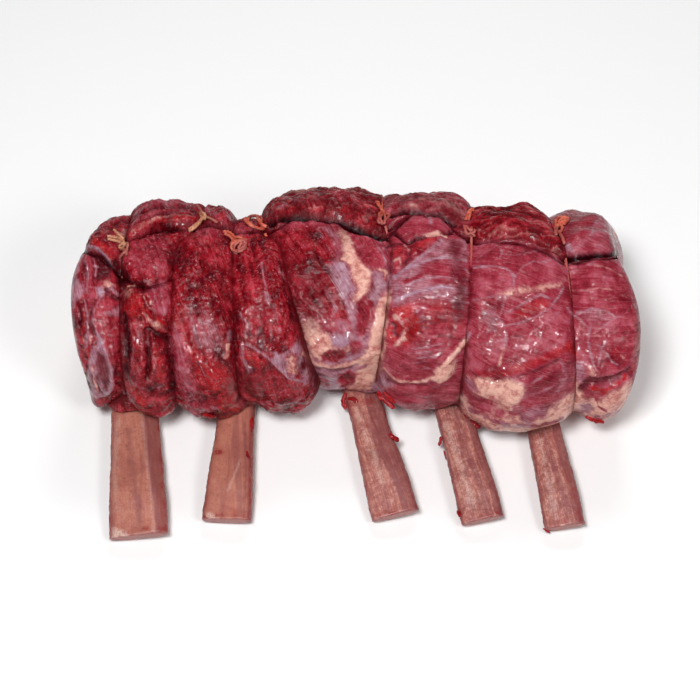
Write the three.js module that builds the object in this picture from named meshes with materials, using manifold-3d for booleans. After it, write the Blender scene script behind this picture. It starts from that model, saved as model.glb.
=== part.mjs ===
// A raw beef rib roast: a rolled piece of meat on five bare-ended rib bones, tied with seven loops of twine.
// Millimetres, +Z up. +X runs along the roast and the bare bone ends point to -Y.
// The roast lies on its rib side, and the origin is the middle of the bottom of its bounding box.

import * as THREE from 'three';
import { mergeVertices } from 'three/addons/utils/BufferGeometryUtils.js';
import Module from 'manifold-3d';

const wasm = await Module();
wasm.setup();

// Meat: eight lobes from left to right, each a rounded section round one long axis.
// front, back and up are the reach of a lobe from the axis; seam is the angle of the crease
// between the lobe and the muscle folded over its back, measured from +Y towards +Z.
const axisHeight = 50;
const lobeDrop = 53;
const endDome = 3;
const endShrink = 0.74;
const lobes = [
  { front: 56, back: 45, up: 45, seam: 84 },
  { front: 66, back: 55, up: 50, seam: 80 },
  { front: 64.5, back: 49, up: 50, seam: 76 },
  { front: 63, back: 40.5, up: 48, seam: 76 },
  { front: 47, back: 66, up: 50, seam: 62 },
  { front: 59, back: 60, up: 52, seam: 69 },
  { front: 75, back: 49, up: 53, seam: 80 },
  { front: 67, back: 49, up: 46, seam: 88 },
];

// Cut ends of the roast. Each reaches furthest at one angle and tapers away over the top and underneath.
const leftEnd = { x: -157, fullAngle: 120, topTaper: 12, lowerTaper: 5 };
const rightEnd = { x: 157, fullAngle: 150, topTaper: 13, lowerTaper: 5 };

// Grooves between the lobes, one for each loop of twine: where they cross the top and the front,
// how deep they cut into the front and the back, how far they step aside to pass beside a rib,
// how far they lean over the back, and the angle of the knot.
const grooves = [
  { top: -128.5, bottom: -127.5, depth: 8, backDepth: 4, sidestep: -14.5, lean: 2, knot: 89 },
  { top: -100, bottom: -101, depth: 9, backDepth: 1.5, sidestep: 0, lean: 15, knot: 63 },
  { top: -68, bottom: -65, depth: 10, backDepth: 6, sidestep: 12, lean: 0, knot: 85 },
  { top: -43, bottom: -19, depth: 9, backDepth: 2, sidestep: -7, lean: -9, knot: 67 },
  { top: 21.5, bottom: 12, depth: 6, backDepth: 1.5, sidestep: 10, lean: -6, knot: 69 },
  { top: 64.5, bottom: 58.5, depth: 6, backDepth: 2.5, sidestep: 13.5, lean: 0, knot: 80 },
  { top: 115, bottom: 122, depth: 6, backDepth: 7, sidestep: 0, lean: -6, knot: 78 },
];
const grooveFloorHalf = 1.5;
const grooveFloorHeight = 2.6;
const grooveTurn = 55;
const sidestepStart = 201;
const sidestepFull = 214;
const sidestepBack = 290;
const sidestepEnd = 340;
const leanStart = 90;
const leanFull = 62;
const leanBack = 290;
const leanEnd = 350;

// Relief of the meat.
const upperRoundness = 2.25;
const lowerRoundness = 2.8;
const bulgePower = 2.2;
const seamDepth = 8;
const seamWidth = 5.5;
const lipHeight = 3.5;
const lipOffset = 15;
const lipWidth = 9;
const waves = [
  { size: 1.1, along: 0.11, around: 3, phase: 0.4 },
  { size: 0.8, along: -0.17, around: 5, phase: 2.1 },
  { size: 0.6, along: 0.31, around: 7, phase: 4.0 },
];
const stationsInLobe = 5;
const pointsAround = 40;
const crowding = 0.35;
const crowdedAngle = 70;
const endRings = [0, 0.4, 0.72];

// Ribs from left to right: neck is where a bone leaves the meat, tip is its bare end.
const ribs = [
  { neckX: -126.3, tipX: -119.5, tipY: -131, neckWidth: 27, tipWidth: 33, roll: 9 },
  { neckX: -67.9, tipX: -71.4, tipY: -121, neckWidth: 21, tipWidth: 27.5, roll: 5 },
  { neckX: 6.1, tipX: 22.5, tipY: -118, neckWidth: 20.5, tipWidth: 26.5, roll: 10 },
  { neckX: 55.6, tipX: 71, tipY: -121, neckWidth: 20, tipWidth: 24, roll: 8 },
  { neckX: 105.5, tipX: 116.5, tipY: -125, neckWidth: 18.5, tipWidth: 22.5, roll: 8 },
];
const ribNeckY = -50;
const ribHiddenY = 18;
const ribThickness = 12;
const ribRoundness = 2.7;
const ribArch = 3;
const ribArchRun = 25;
const ribPointsAround = 14;
const ribStations = 10;
const ribEndShrink = 0.93;
const ribEndDome = 1.6;
const channelEndY = -80;
const channelShoulder = 0.8;
const channelBelow = 1;
const channelCurveSteps = 5;

// Twine.
const twineRadius = 0.85;
const twineSides = 6;
const twineSteps = 28;
const knotRadius = 2.4;
const knotLift = 6;
const knotLiftWidth = 11;
const knotGapAngle = 1.2;
const endSteps = 3;
const bowSteps = 6;
const bowSpread = 0.4;
const bowEndLift = 0.5;
const endBend = 0.15;
const bendLift = 1;
const knotSink = 1;

// What stands out of each knot, in millimetres along the roast and over its back:
// free ends that lie on the meat, and small bows.
const knotEnds = [
  [[-9.5, 6], [-5.5, 11]],
  [[-9, -6], [-5.5, 10], [5.5, -2]],
  [[-9, 8]],
  [[-7, 4]],
  [[-3.5, 12]],
  [[2, 12]],
  [[2, -8]],
];
const knotBows = [
  [],
  [],
  [[6, -4]],
  [[-7, -2]],
  [[2, -8]],
  [[6, 5]],
  [[5, 7], [-2, 7]],
];

// Free space kept between touching pieces.
const clearance = 0.35;

const meatLook = new THREE.MeshStandardMaterial({ color: 0x8f2b35, roughness: 0.38, metalness: 0 });
const boneLook = new THREE.MeshStandardMaterial({ color: 0xc08c7c, roughness: 0.5, metalness: 0 });
const twineLook = new THREE.MeshStandardMaterial({ color: 0xdf8a62, roughness: 0.9, metalness: 0 });

const fullTurn = 2 * Math.PI;
const degrees = (angle) => (angle * Math.PI) / 180;
const mix = (from, to, share) => from + (to - from) * share;
const bell = (distance) => Math.exp(-distance * distance);

function smoothStep(from, to, value) {
  const share = Math.min(Math.max((value - from) / (to - from), 0), 1);
  return share * share * (3 - 2 * share);
}

// A closed geometry as a solid that can be joined and cut.
function solidOf(geometry) {
  geometry.deleteAttribute('normal');
  geometry.deleteAttribute('uv');
  const merged = mergeVertices(geometry, 1e-4);
  return new wasm.Manifold(new wasm.Mesh({
    numProp: 3,
    vertProperties: new Float32Array(merged.attributes.position.array),
    triVerts: new Uint32Array(merged.index.array),
  }));
}

// A solid as a named mesh.
function meshOf(name, solid, material) {
  const result = solid.getMesh();
  const geometry = new THREE.BufferGeometry();
  geometry.setAttribute('position', new THREE.BufferAttribute(result.vertProperties, 3));
  geometry.setIndex(new THREE.BufferAttribute(result.triVerts, 1));
  geometry.computeVertexNormals();
  const mesh = new THREE.Mesh(geometry, material);
  mesh.name = name;
  return mesh;
}

// A sphere whose rings are moved to places given by station number and angle.
// Station 0 and the last one are single points.
function loft(stations, around, place) {
  const sphere = new THREE.SphereGeometry(1, around, stations);
  const { position, uv } = sphere.attributes;
  for (let index = 0; index < position.count; index += 1) {
    const station = Math.round((1 - uv.getY(index)) * stations);
    const turn = Math.round(uv.getX(index) * around) % around;
    const point = place(station, -(turn / around) * fullTurn);
    position.setXYZ(index, point.x, point.y, point.z);
  }
  return solidOf(sphere);
}

// The length of two sides by a power other than the square, which rounds a section more or less.
function powerSum(first, second, power) {
  return (Math.abs(first) ** power + Math.abs(second) ** power) ** (1 / power);
}

// Distance from the axis to a rounded section that is flatter underneath.
function sectionRadius(angle, reach) {
  const across = Math.cos(angle) / (Math.cos(angle) > 0 ? reach.back : reach.front);
  const rise = Math.sin(angle) / (Math.sin(angle) > 0 ? reach.up : reach.down);
  const power = rise > 0 ? upperRoundness : lowerRoundness;
  return 1 / powerSum(across, rise, power);
}

// An angle in radians as degrees from 0 to 360.
function degreesAround(angle) {
  const turned = (angle * 180) / Math.PI;
  return ((turned % 360) + 360) % 360;
}

// Where groove number `index` runs along the roast at an angle round it.
function grooveX(index, angle) {
  const groove = grooves[index];
  const swing = Math.cos(angle - degrees(grooveTurn));
  const turned = degreesAround(angle);
  const out = smoothStep(sidestepStart, sidestepFull, turned);
  const back = smoothStep(sidestepBack, sidestepEnd, turned);
  const lean = smoothStep(leanStart, leanFull, turned) + smoothStep(leanBack, leanEnd, turned);
  const plain = mix(groove.bottom, groove.top, (1 + swing) / 2);
  return plain + groove.sidestep * (out - back) + groove.lean * lean;
}

// Distance from the axis to the floor of a groove.
function grooveRadius(index, angle) {
  const left = lobes[index];
  const right = lobes[index + 1];
  const { depth, backDepth } = grooves[index];
  return sectionRadius(angle, {
    front: (left.front + right.front) / 2 - depth,
    back: (left.back + right.back) / 2 - backDepth,
    up: (left.up + right.up) / 2 - depth,
    down: axisHeight - grooveFloorHeight,
  });
}

// Distance from the axis to the crown of a lobe, with its crease, the lip behind it and uneven relief.
function lobeRadius(index, angle, x) {
  const { front, back, up, seam } = lobes[index];
  const turned = degreesAround(angle);
  let radius = sectionRadius(angle, { front, back, up, down: lobeDrop });
  radius -= seamDepth * bell((turned - seam) / seamWidth);
  radius += lipHeight * bell((turned - seam + lipOffset) / lipWidth);
  for (const wave of waves) {
    radius += wave.size * Math.sin(wave.along * x + wave.around * angle + wave.phase);
  }
  return radius;
}

// Left and right edges of a lobe at an angle: a groove with its flat floor, or an end of the roast.
function lobeEdge(index, angle, onRight) {
  const groove = onRight ? index : index - 1;
  if (groove < 0 || groove >= grooves.length) {
    const { front, back, up } = lobes[index];
    const reach = { front, back, up, down: lobeDrop };
    const end = onRight ? rightEnd : leftEnd;
    const fromFull = Math.sin(angle - degrees(end.fullAngle));
    const taper = (fromFull > 0 ? end.lowerTaper : end.topTaper) * fromFull ** 2;
    return { x: end.x - Math.sign(end.x) * taper, radius: sectionRadius(angle, reach) * endShrink };
  }
  const floor = onRight ? -grooveFloorHalf : grooveFloorHalf;
  return { x: grooveX(groove, angle) + floor, radius: grooveRadius(groove, angle) };
}

// A point given by its place along the roast, its distance from the axis and its angle.
function onSection(x, radius, angle) {
  return new THREE.Vector3(x, radius * Math.cos(angle), axisHeight + radius * Math.sin(angle));
}

// Place and distance of the surface of a lobe, a share of the way from its left edge to its right one.
function lobePoint(index, share, angle) {
  const left = lobeEdge(index, angle, false);
  const right = lobeEdge(index, angle, true);
  const x = mix(left.x, right.x, share);
  const swell = Math.sqrt(Math.max(1 - Math.abs(2 * share - 1) ** bulgePower, 0));
  const radius = mix(mix(left.radius, right.radius, share), lobeRadius(index, angle, x), swell);
  return { x, radius };
}

// Distance from the axis to the meat's surface at a place along the roast.
function surfaceRadius(x, angle) {
  const index = grooves.filter((groove, number) => grooveX(number, angle) < x).length;
  const left = lobeEdge(index, angle, false);
  const right = lobeEdge(index, angle, true);
  const share = Math.min(Math.max((x - left.x) / (right.x - left.x), 0), 1);
  return lobePoint(index, share, angle).radius;
}

// A ring of the domed end face, shrunk towards the axis.
function endPoint(index, size, angle, onRight) {
  const edge = lobeEdge(index, angle, onRight);
  const end = onRight ? rightEnd : leftEnd;
  const middleX = end.x - Math.sign(end.x) * (end.topTaper / 2 - endDome);
  const x = mix(middleX, edge.x, size);
  return onSection(x, edge.radius * size, angle);
}

// The whole meat before it is cut: the rings of the left end, the lobes and the right end.
function meatSolid() {
  const lobeStations = lobes.length * (stationsInLobe + 1);
  const total = lobeStations + 2 * endRings.length - 1;
  return loft(total, pointsAround, (station, evenAngle) => {
    const angle = evenAngle - crowding * Math.sin(evenAngle - degrees(crowdedAngle));
    const inMeat = station - endRings.length;
    if (inMeat < 0) {
      return endPoint(0, endRings[station], angle, false);
    }
    if (inMeat >= lobeStations) {
      return endPoint(lobes.length - 1, endRings[total - station], angle, true);
    }
    const lobe = Math.floor(inMeat / (stationsInLobe + 1));
    const step = inMeat % (stationsInLobe + 1);
    const { x, radius } = lobePoint(lobe, (1 - Math.cos((Math.PI * step) / stationsInLobe)) / 2, angle);
    return onSection(x, radius, angle);
  });
}

// Everything above the surface that the roast lies on, in a box larger than the roast.
function aboveGround() {
  const reach = 4 * rightEnd.x;
  const box = new THREE.BoxGeometry(reach, reach, reach);
  box.translate(0, 0, reach / 2);
  return solidOf(box);
}

// The line along the middle of a rib, from its end under the meat to its bare tip.
function ribLine(rib) {
  const neck = new THREE.Vector2(rib.neckX, ribNeckY);
  const tip = new THREE.Vector2(rib.tipX, rib.tipY);
  const direction = tip.clone().sub(neck).normalize();
  const start = neck.addScaledVector(direction, (ribHiddenY - ribNeckY) / direction.y);
  return { start, direction, length: start.distanceTo(tip) };
}

// A rib bone with a rounded section, flat on the ground at its bare end and raised a little under the meat.
function ribSolid(rib) {
  const { start, direction, length } = ribLine(rib);
  const neckShare = (ribHiddenY - ribNeckY) / (ribHiddenY - rib.tipY);
  return loft(ribStations + 2, ribPointsAround, (station, angle) => {
    const share = Math.min(Math.max((station - 1) / ribStations, 0), 1);
    const fromEnd = Math.min(station, ribStations + 2 - station);
    const size = [0, ribEndShrink][fromEnd] ?? 1;
    const bulge = fromEnd === 0 ? ribEndDome * Math.sign(station - 1) : 0;
    const centre = start.clone().addScaledVector(direction, share * length + bulge);
    const flare = smoothStep(neckShare, 1, share);
    const halfWidth = mix(rib.neckWidth, rib.tipWidth, flare) / 2;
    const halfThick = ribThickness / 2;
    const across = Math.cos(angle);
    const rise = Math.sin(angle);
    const radius = 1 / powerSum(across, rise, ribRoundness);
    const sideways = radius * across * size * halfWidth;
    const upward = radius * rise * size * halfThick;
    const roll = degrees(rib.roll) * flare;
    const turnedSide = sideways * Math.cos(roll) - upward * Math.sin(roll);
    const turnedUp = sideways * Math.sin(roll) + upward * Math.cos(roll);
    const footPower = ribRoundness / (ribRoundness - 1);
    const lying = powerSum(halfWidth * Math.sin(roll), halfThick * Math.cos(roll), footPower);
    const arch = ribArch * smoothStep(0, ribArchRun, (1 - share) * length);
    return new THREE.Vector3(
      centre.x - direction.y * turnedSide,
      centre.y + direction.x * turnedSide,
      lying + arch + turnedUp,
    );
  });
}

// The channel that a rib lies in, open underneath, with the clearance all round.
function ribChannel(rib) {
  const { start, direction } = ribLine(rib);
  const halfWidth = rib.neckWidth / 2 + clearance;
  const top = ribArch + ribThickness + clearance;
  const shoulder = top - ribThickness / 2;
  const outline = new THREE.Shape();
  outline.moveTo(-halfWidth, -channelBelow);
  outline.lineTo(halfWidth, -channelBelow);
  outline.lineTo(halfWidth, shoulder);
  outline.bezierCurveTo(halfWidth, top, halfWidth * channelShoulder, top, 0, top);
  outline.bezierCurveTo(-halfWidth * channelShoulder, top, -halfWidth, top, -halfWidth, shoulder);
  const depth = (ribHiddenY - channelEndY) + ribEndDome + clearance;
  const channel = new THREE.ExtrudeGeometry(outline, {
    depth,
    bevelEnabled: false,
    curveSegments: channelCurveSteps,
  });
  channel.translate(0, 0, -ribEndDome - clearance);
  channel.rotateX(Math.PI / 2);
  channel.rotateZ(Math.atan2(direction.x, -direction.y));
  channel.translate(start.x, start.y, 0);
  return solidOf(channel);
}

// A round strand along a list of points.
function strandSolid(points, radius, steps) {
  const section = new THREE.Shape();
  section.absarc(0, 0, radius, 0, fullTurn, false);
  const strand = new THREE.ExtrudeGeometry(section, {
    steps,
    curveSegments: twineSides / 2,
    extrudePath: new THREE.CatmullRomCurve3(points),
  });
  return solidOf(strand);
}

// Distance from the axis to the middle of a loop of twine, which rises out of its groove at the knot.
function twineRadiusAt(index, angle) {
  const fromKnot = (degreesAround(angle) - grooves[index].knot) / knotLiftWidth;
  return grooveRadius(index, angle) + clearance + twineRadius + knotLift * bell(fromKnot);
}

// A loop of twine with its knot, its free ends and its bows.
function twineSolid(index, grow) {
  const from = grooves[index].knot + knotGapAngle;
  const to = grooves[index].knot + 360 - knotGapAngle;
  const route = [];
  for (let step = 0; step <= twineSteps; step += 1) {
    const angle = degrees(mix(from, to, step / twineSteps));
    route.push(onSection(grooveX(index, angle), twineRadiusAt(index, angle), angle));
  }
  let solid = strandSolid(route, twineRadius + grow, twineSteps);

  const knotAngle = degrees(grooves[index].knot);
  const knotX = grooveX(index, knotAngle);
  const knotDistance = twineRadiusAt(index, knotAngle) + twineRadius;
  const centre = onSection(knotX, knotDistance, knotAngle);
  const knot = new THREE.IcosahedronGeometry(knotRadius + grow, 1);
  knot.translate(centre.x, centre.y, centre.z);
  solid = solid.add(solidOf(knot));

  const onMeat = (along, over, lift) => {
    const angle = knotAngle - over / knotDistance;
    const rest = surfaceRadius(knotX + along, angle) + clearance + twineRadius;
    return onSection(knotX + along, Math.max(rest, knotDistance - knotSink) + lift, angle);
  };
  for (const [along, over] of knotEnds[index]) {
    const bend = onMeat(along / 2 + over * endBend, over / 2 - along * endBend, bendLift);
    solid = solid.add(strandSolid([centre, bend, onMeat(along, over, 0)], twineRadius + grow, endSteps));
  }
  for (const [along, over] of knotBows[index]) {
    const wide = (side) => onMeat(along / 2 - side * over, over / 2 + side * along, bendLift);
    const bow = [centre, wide(bowSpread), onMeat(along, over, bowEndLift), wide(-bowSpread), centre];
    solid = solid.add(strandSolid(bow, twineRadius + grow, bowSteps));
  }
  return solid;
}

function build() {
  const roast = new THREE.Group();
  let meat = meatSolid().intersect(aboveGround());
  ribs.forEach((rib, index) => {
    roast.add(meshOf(`rib_${index + 1}`, ribSolid(rib), boneLook));
    meat = meat.subtract(ribChannel(rib));
  });
  grooves.forEach((groove, index) => {
    roast.add(meshOf(`twine_${index + 1}`, twineSolid(index, 0), twineLook));
    meat = meat.subtract(twineSolid(index, clearance));
  });
  roast.add(meshOf('meat', meat, meatLook));

  const box = new THREE.Box3().setFromObject(roast);
  const middle = box.getCenter(new THREE.Vector3());
  roast.position.set(-middle.x, -middle.y, -box.min.z);
  return roast;
}

const group = build();
export default group;
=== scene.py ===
"""A raw beef rib roast tied with twine: the looks of its meat, bones and twine."""

import logging
import math
from dataclasses import dataclass, field, replace
from enum import Enum
from functools import partial
from typing import Sequence

import bpy
import numpy as np
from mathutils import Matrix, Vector
from mathutils.bvhtree import BVHTree


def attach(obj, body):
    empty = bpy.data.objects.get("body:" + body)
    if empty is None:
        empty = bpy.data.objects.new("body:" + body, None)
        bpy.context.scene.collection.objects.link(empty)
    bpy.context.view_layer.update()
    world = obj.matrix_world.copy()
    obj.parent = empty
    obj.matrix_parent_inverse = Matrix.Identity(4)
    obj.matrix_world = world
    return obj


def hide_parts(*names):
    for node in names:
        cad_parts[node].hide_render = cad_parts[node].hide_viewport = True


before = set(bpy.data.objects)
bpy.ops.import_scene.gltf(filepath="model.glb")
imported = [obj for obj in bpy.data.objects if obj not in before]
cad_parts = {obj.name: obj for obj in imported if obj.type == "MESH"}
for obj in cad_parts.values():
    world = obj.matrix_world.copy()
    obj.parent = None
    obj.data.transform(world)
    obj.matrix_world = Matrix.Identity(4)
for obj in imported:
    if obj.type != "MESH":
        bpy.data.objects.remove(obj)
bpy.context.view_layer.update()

log = logging.getLogger("roast")

MM = 0.001
AXIS_HEIGHT = 50.0
SHIFT_Y = 33.54
WELD_METRES = 2e-6

Pair = tuple[float, float]
Pixel = Pair
Colour = tuple[float, float, float, float]
Stops = tuple[tuple[float, Colour], ...]


def paint(red: int, green: int, blue: int) -> Colour:
    """Turn a colour as seen on a screen into the shader's numbers.

    Args:
        red: Red, 0 to 255.
        green: Green, 0 to 255.
        blue: Blue, 0 to 255.

    Returns:
        The linear colour with an alpha of one.
    """
    def straight(value: int) -> float:
        """Undo the screen's curve for one channel."""
        share = value / 255
        return share / 12.92 if share <= 0.04045 else ((share + 0.055) / 1.055) ** 2.4

    return straight(red), straight(green), straight(blue), 1.0


def step(low: float, high: float, value: np.ndarray) -> np.ndarray:
    """Rise smoothly from 0 at low to 1 at high.

    Args:
        low: Where the rise starts.
        high: Where it ends.
        value: The values to grade.

    Returns:
        The share for each value.
    """
    share = np.clip((value - low) / (high - low), 0, 1)
    return share * share * (3 - 2 * share)


def bell(distance: np.ndarray) -> np.ndarray:
    """Rise to 1 where the distance is 0."""
    return np.exp(-distance * distance)


def mix(first: np.ndarray | float, second: np.ndarray | float, share: np.ndarray | float) -> np.ndarray:
    """Go from the first value to the second by a share."""
    return first + (second - first) * share


class Noise:
    """Smooth seeded noise over points in space."""

    def __init__(self, seed: int) -> None:
        """Lay out the slopes that the noise is made from.

        Args:
            seed: What makes this noise differ from others.
        """
        chance = np.random.default_rng(seed)
        self.order = np.tile(chance.permutation(256), 2)
        slopes = chance.normal(size=(256, 3))
        self.slopes = slopes / np.linalg.norm(slopes, axis=1, keepdims=True)

    def at(self, points: np.ndarray) -> np.ndarray:
        """Read the noise, about -1 to 1.

        Args:
            points: Points as rows, one feature to a unit.

        Returns:
            The noise at each point.
        """
        corner_cell = np.floor(points).astype(np.int64)
        inside = points - corner_cell
        fade = inside ** 3 * (inside * (inside * 6 - 15) + 10)
        total = np.zeros(len(points))
        for corner in range(8):
            offset = np.array([corner & 1, corner >> 1 & 1, corner >> 2 & 1])
            cell = (corner_cell + offset) & 255
            index = self.order[self.order[self.order[cell[:, 0]] + cell[:, 1]] + cell[:, 2]]
            slope = ((inside - offset) * self.slopes[index]).sum(1)
            total += slope * np.where(offset, fade, 1 - fade).prod(1)
        return total * 1.6

    def rough(self, points: np.ndarray, size: float, octaves: int = 3, keep: float = 0.5) -> np.ndarray:
        """Add up ever finer noise.

        Args:
            points: Points in millimetres.
            size: Pair of the largest features in millimetres.
            octaves: How many layers, each half the size of the last.
            keep: How much of its height each layer keeps.

        Returns:
            The height at each point, about -1 to 1.
        """
        total = np.zeros(len(points))
        for layer in range(octaves):
            total += keep ** layer * self.at(points / size * 2 ** layer + 17.3 * layer)
        return total

    def ridges(self, points: np.ndarray, size: float, octaves: int = 2) -> np.ndarray:
        """Add up ever finer sharp crests.

        Args:
            points: Points in millimetres.
            size: Size of the largest features in millimetres.
            octaves: How many layers, each half the size of the last.

        Returns:
            The height at each point, 0 in the dips and 1 on the crests.
        """
        total = np.zeros(len(points))
        for layer in range(octaves):
            crest = 1 - np.abs(self.at(points / size * 2 ** layer + 9.1 * layer))
            total += 0.5 ** layer * crest ** 3
        return total / 1.5


def along_grain(along: np.ndarray, across: np.ndarray, size: Pair, layer: float) -> np.ndarray:
    """Scale places to a noise pattern that is drawn out along the grain.

    Args:
        along: Millimetres along the grain.
        across: Millimetres across the grain.
        size: Length and width of its features in millimetres.
        layer: Which layer of the noise to read.

    Returns:
        The places as rows.
    """
    return np.stack([along / size[0], across / size[1], np.full_like(along, layer)], 1)


@dataclass(frozen=True)
class PictureView:
    """The steep front view that the roast is seen from, and the picture's own measures."""

    elevation: float = 57.0
    distance: float = 1175.0
    aim_height: float = 45.0
    mm_per_pixel: float = 0.563
    aim_pixel: Pixel = (355.25, 351.4)
    picture_pixels: int = 700
    sensor: float = 36.0

    @property
    def sight(self) -> np.ndarray:
        """The direction that the camera looks in."""
        rise = math.radians(self.elevation)
        return np.array([0, math.cos(rise), -math.sin(rise)])

    @property
    def upward(self) -> np.ndarray:
        """The direction that is up in the picture."""
        rise = math.radians(self.elevation)
        return np.array([0, math.sin(rise), math.cos(rise)])

    def pixels(self, points: np.ndarray) -> tuple[np.ndarray, np.ndarray]:
        """Say where points show in the picture.

        Args:
            points: Points as rows, in millimetres.

        Returns:
            The pixels across and down.
        """
        from_aim = points - np.array([0, 0, self.aim_height])
        near = self.distance / (from_aim @ self.sight + self.distance) / self.mm_per_pixel
        across = self.aim_pixel[0] + from_aim[:, 0] * near
        down = self.aim_pixel[1] - (from_aim @ self.upward) * near
        return across, down

    def ray(self, pixel: Pixel) -> tuple[Vector, Vector]:
        """Give the line of sight through a pixel.

        Args:
            pixel: The pixel across and down.

        Returns:
            The camera's place and the direction, in millimetres.
        """
        start = np.array([0, 0, self.aim_height]) - self.sight * self.distance
        across = (pixel[0] - self.aim_pixel[0]) * self.mm_per_pixel
        rise = (self.aim_pixel[1] - pixel[1]) * self.mm_per_pixel
        target = np.array([across, 0, self.aim_height]) + self.upward * rise
        return Vector(start), Vector(target - start).normalized()

    def build(self) -> bpy.types.Object:
        """Set up the camera.

        Returns:
            The camera object.
        """
        lens = bpy.data.cameras.new("picture_camera")
        lens.sensor_width = self.sensor
        lens.lens = self.sensor * self.distance / (self.mm_per_pixel * self.picture_pixels)
        half = self.picture_pixels / 2
        lens.shift_x = -(self.aim_pixel[0] - half) / self.picture_pixels
        lens.shift_y = (self.aim_pixel[1] - half) / self.picture_pixels
        camera = bpy.data.objects.new("picture_camera", lens)
        camera.location = self.ray(self.aim_pixel)[0] * MM
        camera.rotation_euler = (math.radians(90 - self.elevation), 0, 0)
        bpy.context.scene.collection.objects.link(camera)
        bpy.context.scene.camera = camera
        return camera


VIEW = PictureView()


class Tissue(Enum):
    """What a mark on the meat or bone is made of."""

    FAT = "fat"
    # Silver skin, also laid on in a few places as painted glints and painted sheen.
    SILVER = "silver"
    BRIGHT = "bright"
    # Painted shadow and shade in gaps, creases and grooves and on bone facets, and darker flesh in a few places.
    DARK = "dark"
    # A thin veil over the muscle, also laid on in a few places as painted sheen.
    VEIL = "veil"
    CRUST = "crust"
    FORM = "form"


@dataclass(frozen=True)
class Mark:
    """A patch, or a strip where it has a width, of one tissue. Its places are pixels of the picture."""

    tissue: Tissue
    places: tuple[Pixel, ...]
    width: float = 0.0
    relief: float = 0.0
    strength: float = 1.0
    level: float = 1.0
    ragged: float = 1.0
    soft: float = 1.0
    feather: float = 1.9

    def cover(self, across: np.ndarray, down: np.ndarray, noise: np.ndarray) -> np.ndarray:
        """Say how much the mark covers each point.

        Args:
            across: Pixels across of the points.
            down: Pixels down of the points.
            noise: Noise that makes the edge ragged.

        Returns:
            The cover of each point, 0 to 1.
        """
        cover = np.zeros(len(across))
        spots = np.array(self.places, float)
        margin = (self.width + 2 * self.ragged + 2 * self.feather * self.soft) / VIEW.mm_per_pixel + 1
        near = (across > spots[:, 0].min() - margin) & (across < spots[:, 0].max() + margin)
        near &= (down > spots[:, 1].min() - margin) & (down < spots[:, 1].max() + margin)
        if not near.any():
            return cover
        point = np.stack([across[near], down[near]], 1)
        ends = np.roll(spots, -1, 0) if not self.width else spots[1:]
        starts = spots if not self.width else spots[:-1]
        apart = np.full(len(point), 1e9)
        inside = np.zeros(len(point), bool)
        for start, end in zip(starts, ends):
            side = end - start
            share = np.clip(((point - start) @ side) / max(side @ side, 1e-9), 0, 1)
            apart = np.minimum(apart, np.linalg.norm(point - start - share[:, None] * side, axis=1))
            crosses = (start[1] > point[:, 1]) != (end[1] > point[:, 1])
            rise = side[1] if side[1] else 1e-9
            inside ^= crosses & (point[:, 0] < side[0] * (point[:, 1] - start[1]) / rise + start[0])
        apart = apart * VIEW.mm_per_pixel
        reach = self.width / 2 - apart if self.width else np.where(inside, apart, -apart)
        soft = min(self.soft, 0.5 + 0.38 * self.width) if self.width else self.soft * self.feather
        cover[near] = self.strength * step(-soft, soft, reach + self.ragged * noise[near])
        return cover


@dataclass(frozen=True)
class Fold:
    """A flap that hangs over a crease, whose line is given by pixels of the picture. Its dark sets the painted shadow
    in the crease.
    """

    line: tuple[Pixel, ...]
    gap: float = 6.0
    over: float = 6.0
    lip: float = 2.5
    width: float = 3.4
    dark: float = 0.9
    bark: float = 0.5


@dataclass(frozen=True)
class Lobe:
    """One bulging section of the meat between two loops of twine."""

    front: float
    back: float
    up: float
    rough: float
    veil: float
    grain: float
    folds: tuple[Fold, ...]


@dataclass(frozen=True)
class Groove:
    """Where a loop of twine runs round the meat."""

    top: float
    bottom: float
    depth: float
    back_depth: float
    sidestep: float
    lean: float
    knot: float


@dataclass(frozen=True)
class CutEnd:
    """A cut end of the roast, which reaches furthest at one angle."""

    x: float
    full_angle: float
    top_taper: float
    lower_taper: float


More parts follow.
